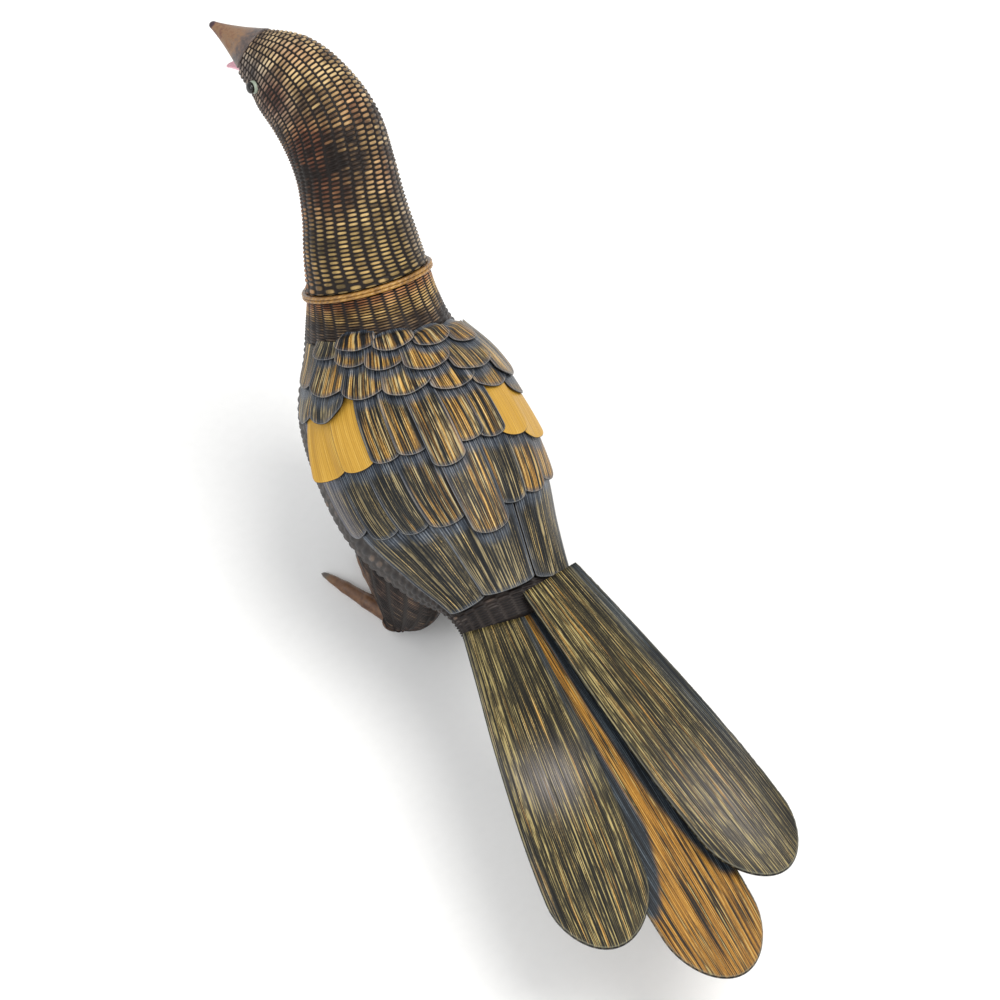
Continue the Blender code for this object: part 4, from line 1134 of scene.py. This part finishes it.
def weave_thigh(side, word, finish):
    """Woven drumstick between its patch on the belly and the ankle's ring, swelling as
    sqrt(1 - s^2) (1 - 0.15 s) and lowered by the weave."""
    turn = math.radians(THIGH_ANGLE) * side
    reach_t = THIGH_RADIUS / BODY_LENGTH
    reach_turn = THIGH_RADIUS / (BODY_WIDTH / 2)
    sides = THIGH_STAKES * SAMPLES_PER_STAKE
    angle = np.arange(sides) / sides * 2 * np.pi

    def patch(share):
        t = THIGH_STATION + reach_t * share * np.cos(angle)
        return over_body(t, turn + reach_turn * share * np.sin(angle), np.full(sides, GAP))

    top = patch(1.0)
    middle = top.mean(0)
    ankle = np.array([LEG_SPREAD * side, LEG_REACH + ANKLE_SETBACK, ANKLE_HEIGHT + GAP - SEAM_HEIGHT])
    ankle_ring = ankle + ANKLE_RADIUS * unit((top - middle) * np.array([1.0, 1.0, 0.0]))
    row = np.linspace(0, THIGH_ROWS, THIGH_ROWS * SAMPLES_ACROSS_SPLINT + 1)[:, None]
    step = row / THIGH_ROWS
    swell = np.sqrt(np.clip(1 - step**2, 0, 1)) * (1 - 0.15 * step)
    wide = middle + (top - middle)[None] * swell[..., None] + (ankle - middle) * step[..., None]
    blend = step[..., None] ** 3
    rings = wide * (1 - blend) + ankle_ring[None] * blend
    stake = np.arange(sides)[None] / SAMPLES_PER_STAKE + 0 * row
    height, over, dye = weave(stake, row + stake / THIGH_STAKES)
    centre = rings.mean(1, keepdims=True)
    outward = unit(rings - centre)
    rings = rings - outward * (WEAVE_DEPTH * 0.8 * (1 - height))[..., None]
    caps = np.array([patch(0.1), patch(0.4), patch(0.7), patch(0.93)])
    points, faces, corners = tube(np.concatenate([caps, rings]))
    flat = np.zeros((len(caps), sides))

    def both(value):
        return np.concatenate([flat, np.broadcast_to(value, over.shape)])

    blotch = np.sin(stake * 0.9 + row * 0.11)
    tone = 0.14 + 0.09 * blotch
    rust = 0.25 + 0.2 * blotch
    values = stake_values(both(over), both(dye), both(tone), both(rust), both(0.4))
    piece = new_piece(f"woven_thigh_{word}", points, faces, finish, corners, values)
    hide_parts(f"thigh_{word}")


def carve_foot(side, word, finish):
    """Heel cone and three toes with knuckles: girth falls along each toe and swells at two joints."""
    hub = np.array([LEG_SPREAD * side, LEG_REACH, -SEAM_HEIGHT])
    angle = np.arange(FOOT_SIDES) / FOOT_SIDES * 2 * np.pi
    points = []
    faces = []
    tones = []

    def keep(rings, tone):
        made, quads, _ = tube(rings, sum(len(part) for part in points))
        points.append(made)
        faces.extend(quads)
        # The two middles take the tone of the last point
        tones.append(np.pad(np.broadcast_to(tone, rings.shape[:2]).ravel(), (0, 2), mode="edge"))

    share = np.linspace(-0.04, 1.0, 60)[:, None]
    girth = np.interp(share, TOE_SHARES, TOE_GIRTHS)
    knuckle = 0.10 * (np.exp(-((share - 0.38) / 0.05) ** 2) + np.exp(-((share - 0.68) / 0.045) ** 2))
    for order, (way, stout) in enumerate(TOES):
        radius = TOE_RADIUS * stout * (girth + knuckle)
        lift = np.minimum(TOE_LIFT * TOE_RADIUS * girth * stout**2, radius)
        x = radius * np.cos(angle)
        z = np.maximum(lift + radius * np.sin(angle), 0.02 + 0.01 * order)
        y = -TOE_LENGTH * share + 0 * x
        turn = math.radians(TOE_SPLAY * side * way)
        turned_x = x * math.cos(turn) - y * math.sin(turn)
        turned_y = x * math.sin(turn) + y * math.cos(turn)
        tone = 0.2 + 0.12 * share + 0.6 * smooth(0.86, 0.96, share)
        keep(hub + np.stack([turned_x, turned_y, z], -1), tone)
    rise = np.linspace(0.0, 1.0, 14)[:, None]
    radius = HEEL_RADIUS + (HUB_RADIUS - HEEL_RADIUS) * rise + 0.15 * np.sin(rise * 9)
    x = radius * np.cos(angle)
    keep(hub + np.stack([x, radius * np.sin(angle), rise * ANKLE_HEIGHT + 0 * x], -1), 0.15)
    tips = {"tip": np.concatenate(tones)}
    piece = new_piece(f"carved_foot_{word}", np.vstack(points), faces, finish, None, tips)
    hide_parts(f"foot_{word}")


# Stage

def make_stage():
    mesh = bpy.data.meshes.new("studio_floor")
    ways = ((-1, -1), (1, -1), (1, 1), (-1, 1))
    mesh.from_pydata([(x * FLOOR_REACH, y * FLOOR_REACH, 0) for x, y in ways], [], [(0, 1, 2, 3)])
    mesh.materials.append(studio_floor())
    floor = bpy.data.objects.new("studio_floor", mesh)
    bpy.context.scene.collection.objects.link(floor)


def make_camera():
    """The photograph's place, 0.93 m from the seam, with no roll or shift."""
    data = bpy.data.cameras.new("photo_camera")
    data.sensor_width = 36.0
    data.lens = LENS
    data.clip_end = 10.0
    camera = bpy.data.objects.new("photo_camera", data)
    bpy.context.scene.collection.objects.link(camera)
    camera.location = Vector((SEAM + np.array(CAMERA_FROM_SEAM)) * MM)
    camera.rotation_euler = (math.radians(90.0 - ELEVATION), 0.0, math.radians(AZIMUTH))
    bpy.context.scene.camera = camera


def make_light(name, place, aim, size, power, colour):
    data = bpy.data.lights.new(name, "AREA")
    data.shape = "DISK"
    data.size = size
    data.energy = power
    data.color = colour
    light = bpy.data.objects.new(name, data)
    bpy.context.scene.collection.objects.link(light)
    light.location = place
    light.rotation_euler = (Vector(aim) - Vector(place)).to_track_quat("-Z", "Y").to_euler()


def make_lights():
    """A large soft key above and behind the bird's right, a fill from its left, and a white room."""
    make_light("key_softbox", (-0.35, 0.25, 1.1), (0.0, 0.0, 0.05), 0.8, 9.0, (1.0, 0.98, 0.95))
    make_light("fill_softbox", (0.8, 0.3, 0.6), (0.0, 0.0, 0.05), 0.7, 3.0, (0.93, 0.96, 1.0))
    world = bpy.data.worlds.new("white_room")
    world.use_nodes = True
    background = world.node_tree.nodes["Background"]
    background.inputs["Color"].default_value = (1.0, 1.0, 1.0, 1.0)
    background.inputs["Strength"].default_value = 0.8
    bpy.context.scene.world = world
    # The photograph's colours are plain sRGB
    bpy.context.scene.view_settings.view_transform = "Standard"


def finishes():
    return {
        "wicker": woven_bamboo(),
        "slat": lacquered_bamboo(
            "scorched lacquered bamboo",
            [
                (0.0, "#090a0c"), (0.34, "#131517"), (0.55, "#242524"),
                (0.72, "#4a4334"), (0.87, "#8f7a4b"), (1.0, "#cfb577"),
            ],
            [
                (0.0, "#120c07"), (0.22, "#3c2a13"), (0.45, "#785526"),
                (0.7, "#a87f3c"), (0.88, "#c9a157"), (1.0, "#e2c88c"),
            ],
            [(0.0, "#181b21"), (0.5, "#3a424d"), (1.0, "#838c96")],
            ("#bba97c", "#d3aa60", 0.85), 0.55, "#9694a6", "#8d9094",
        ),
        "gold": lacquered_bamboo(
            "golden bamboo slat",
            [(0.0, "#a67e33"), (0.4, "#bb9038"), (0.8, "#c59c46"), (1.0, "#d0ae5c")],
            [(0.0, "#a67e33"), (0.4, "#bb9038"), (0.8, "#c59c46"), (1.0, "#d0ae5c")],
            [(0.0, "#8a6a30"), (0.5, "#a67e33"), (1.0, "#c59c46")],
            ("#c59c46", "#cda650", 0.12), 0.0, "#c59c46", "#cda24e", 0.4,
        ),
        "tail": lacquered_bamboo(
            "olive lacquered bamboo blade",
            [
                (0.0, "#0a0906"), (0.3, "#16140f"), (0.52, "#2a271b"),
                (0.7, "#4f472f"), (0.85, "#917c4a"), (1.0, "#d6c088"),
            ],
            [(0.0, "#23170a"), (0.2, "#5e3f16"), (0.45, "#8a5e20"), (0.75, "#a9782b"), (1.0, "#c79c4d")],
            [(0.0, "#121417"), (0.5, "#272d33"), (1.0, "#5f6a72")],
            ("#b7a56c", "#c0944a", 0.85), 0.12, "#a09a98", "#93917f",
        ),
        "rim": painted_wood(
            "golden plaited splint",
            [(0.15, "#150b05"), (0.4, "#553812"), (0.65, "#93692b"), (0.95, "#c59a50")], 500.0, 0.42, 0.0002,
        ),
        "beak": painted_wood(
            "painted carved beak",
            [
                (0.05, "#2f2826"), (0.25, "#514541"), (0.42, "#6b5547"),
                (0.6, "#806144"), (0.78, "#643f30"), (0.9, "#42272e"), (1.0, "#321d26"),
            ],
            620.0, 0.4, 0.0003, 0.95,
        ),
        "mouth": painted_wood(
            "pink painted wood", [(0.2, "#b0707f"), (0.6, "#d798a8"), (1.0, "#e7b9c2")], 300.0, 0.4, 0.0002,
        ),
        "ring": painted_wood(
            "pale painted eye ring",
            [(0.2, "#5f6a5c"), (0.7, "#98a392"), (1.0, "#c9cfc2")], 500.0, 0.4, 0.0001,
        ),
        "foot": painted_wood(
            "stained carved foot",
            [(0.1, "#26160e"), (0.35, "#4a2d1c"), (0.6, "#6d4a2c"), (0.8, "#5f4e3a"), (1.0, "#4f4640")],
            420.0, 0.45, 0.0003, 0.8,
        ),
        "eye": glass_bead(),
    }


def main():
    finish = finishes()
    weave_body(finish["wicker"])
    weave_head(finish["wicker"])
    plait_rim(finish["rim"])
    lay_fine_slats(finish)
    make_tail(finish)
    beak_half(
        "carved_upper_beak", "upper_beak", BEAK_LENGTH, BEAK_BASE_RADIUS, BEAK_DROOP, 0.0, 1,
        finish["beak"],
    )
    beak_half(
        "carved_lower_beak", "lower_beak", LOWER_BEAK_LENGTH, LOWER_BEAK_RADIUS, MOUTH_OPENING, MOUTH_TURN,
        -1, finish["mouth"],
    )
    for side, word in ((1, "left"), (-1, "right")):
        make_eye(side, word, finish["eye"], finish["ring"])
        weave_thigh(side, word, finish["wicker"])
        carve_foot(side, word, finish["foot"])
    make_stage()
    make_camera()
    make_lights()


main()
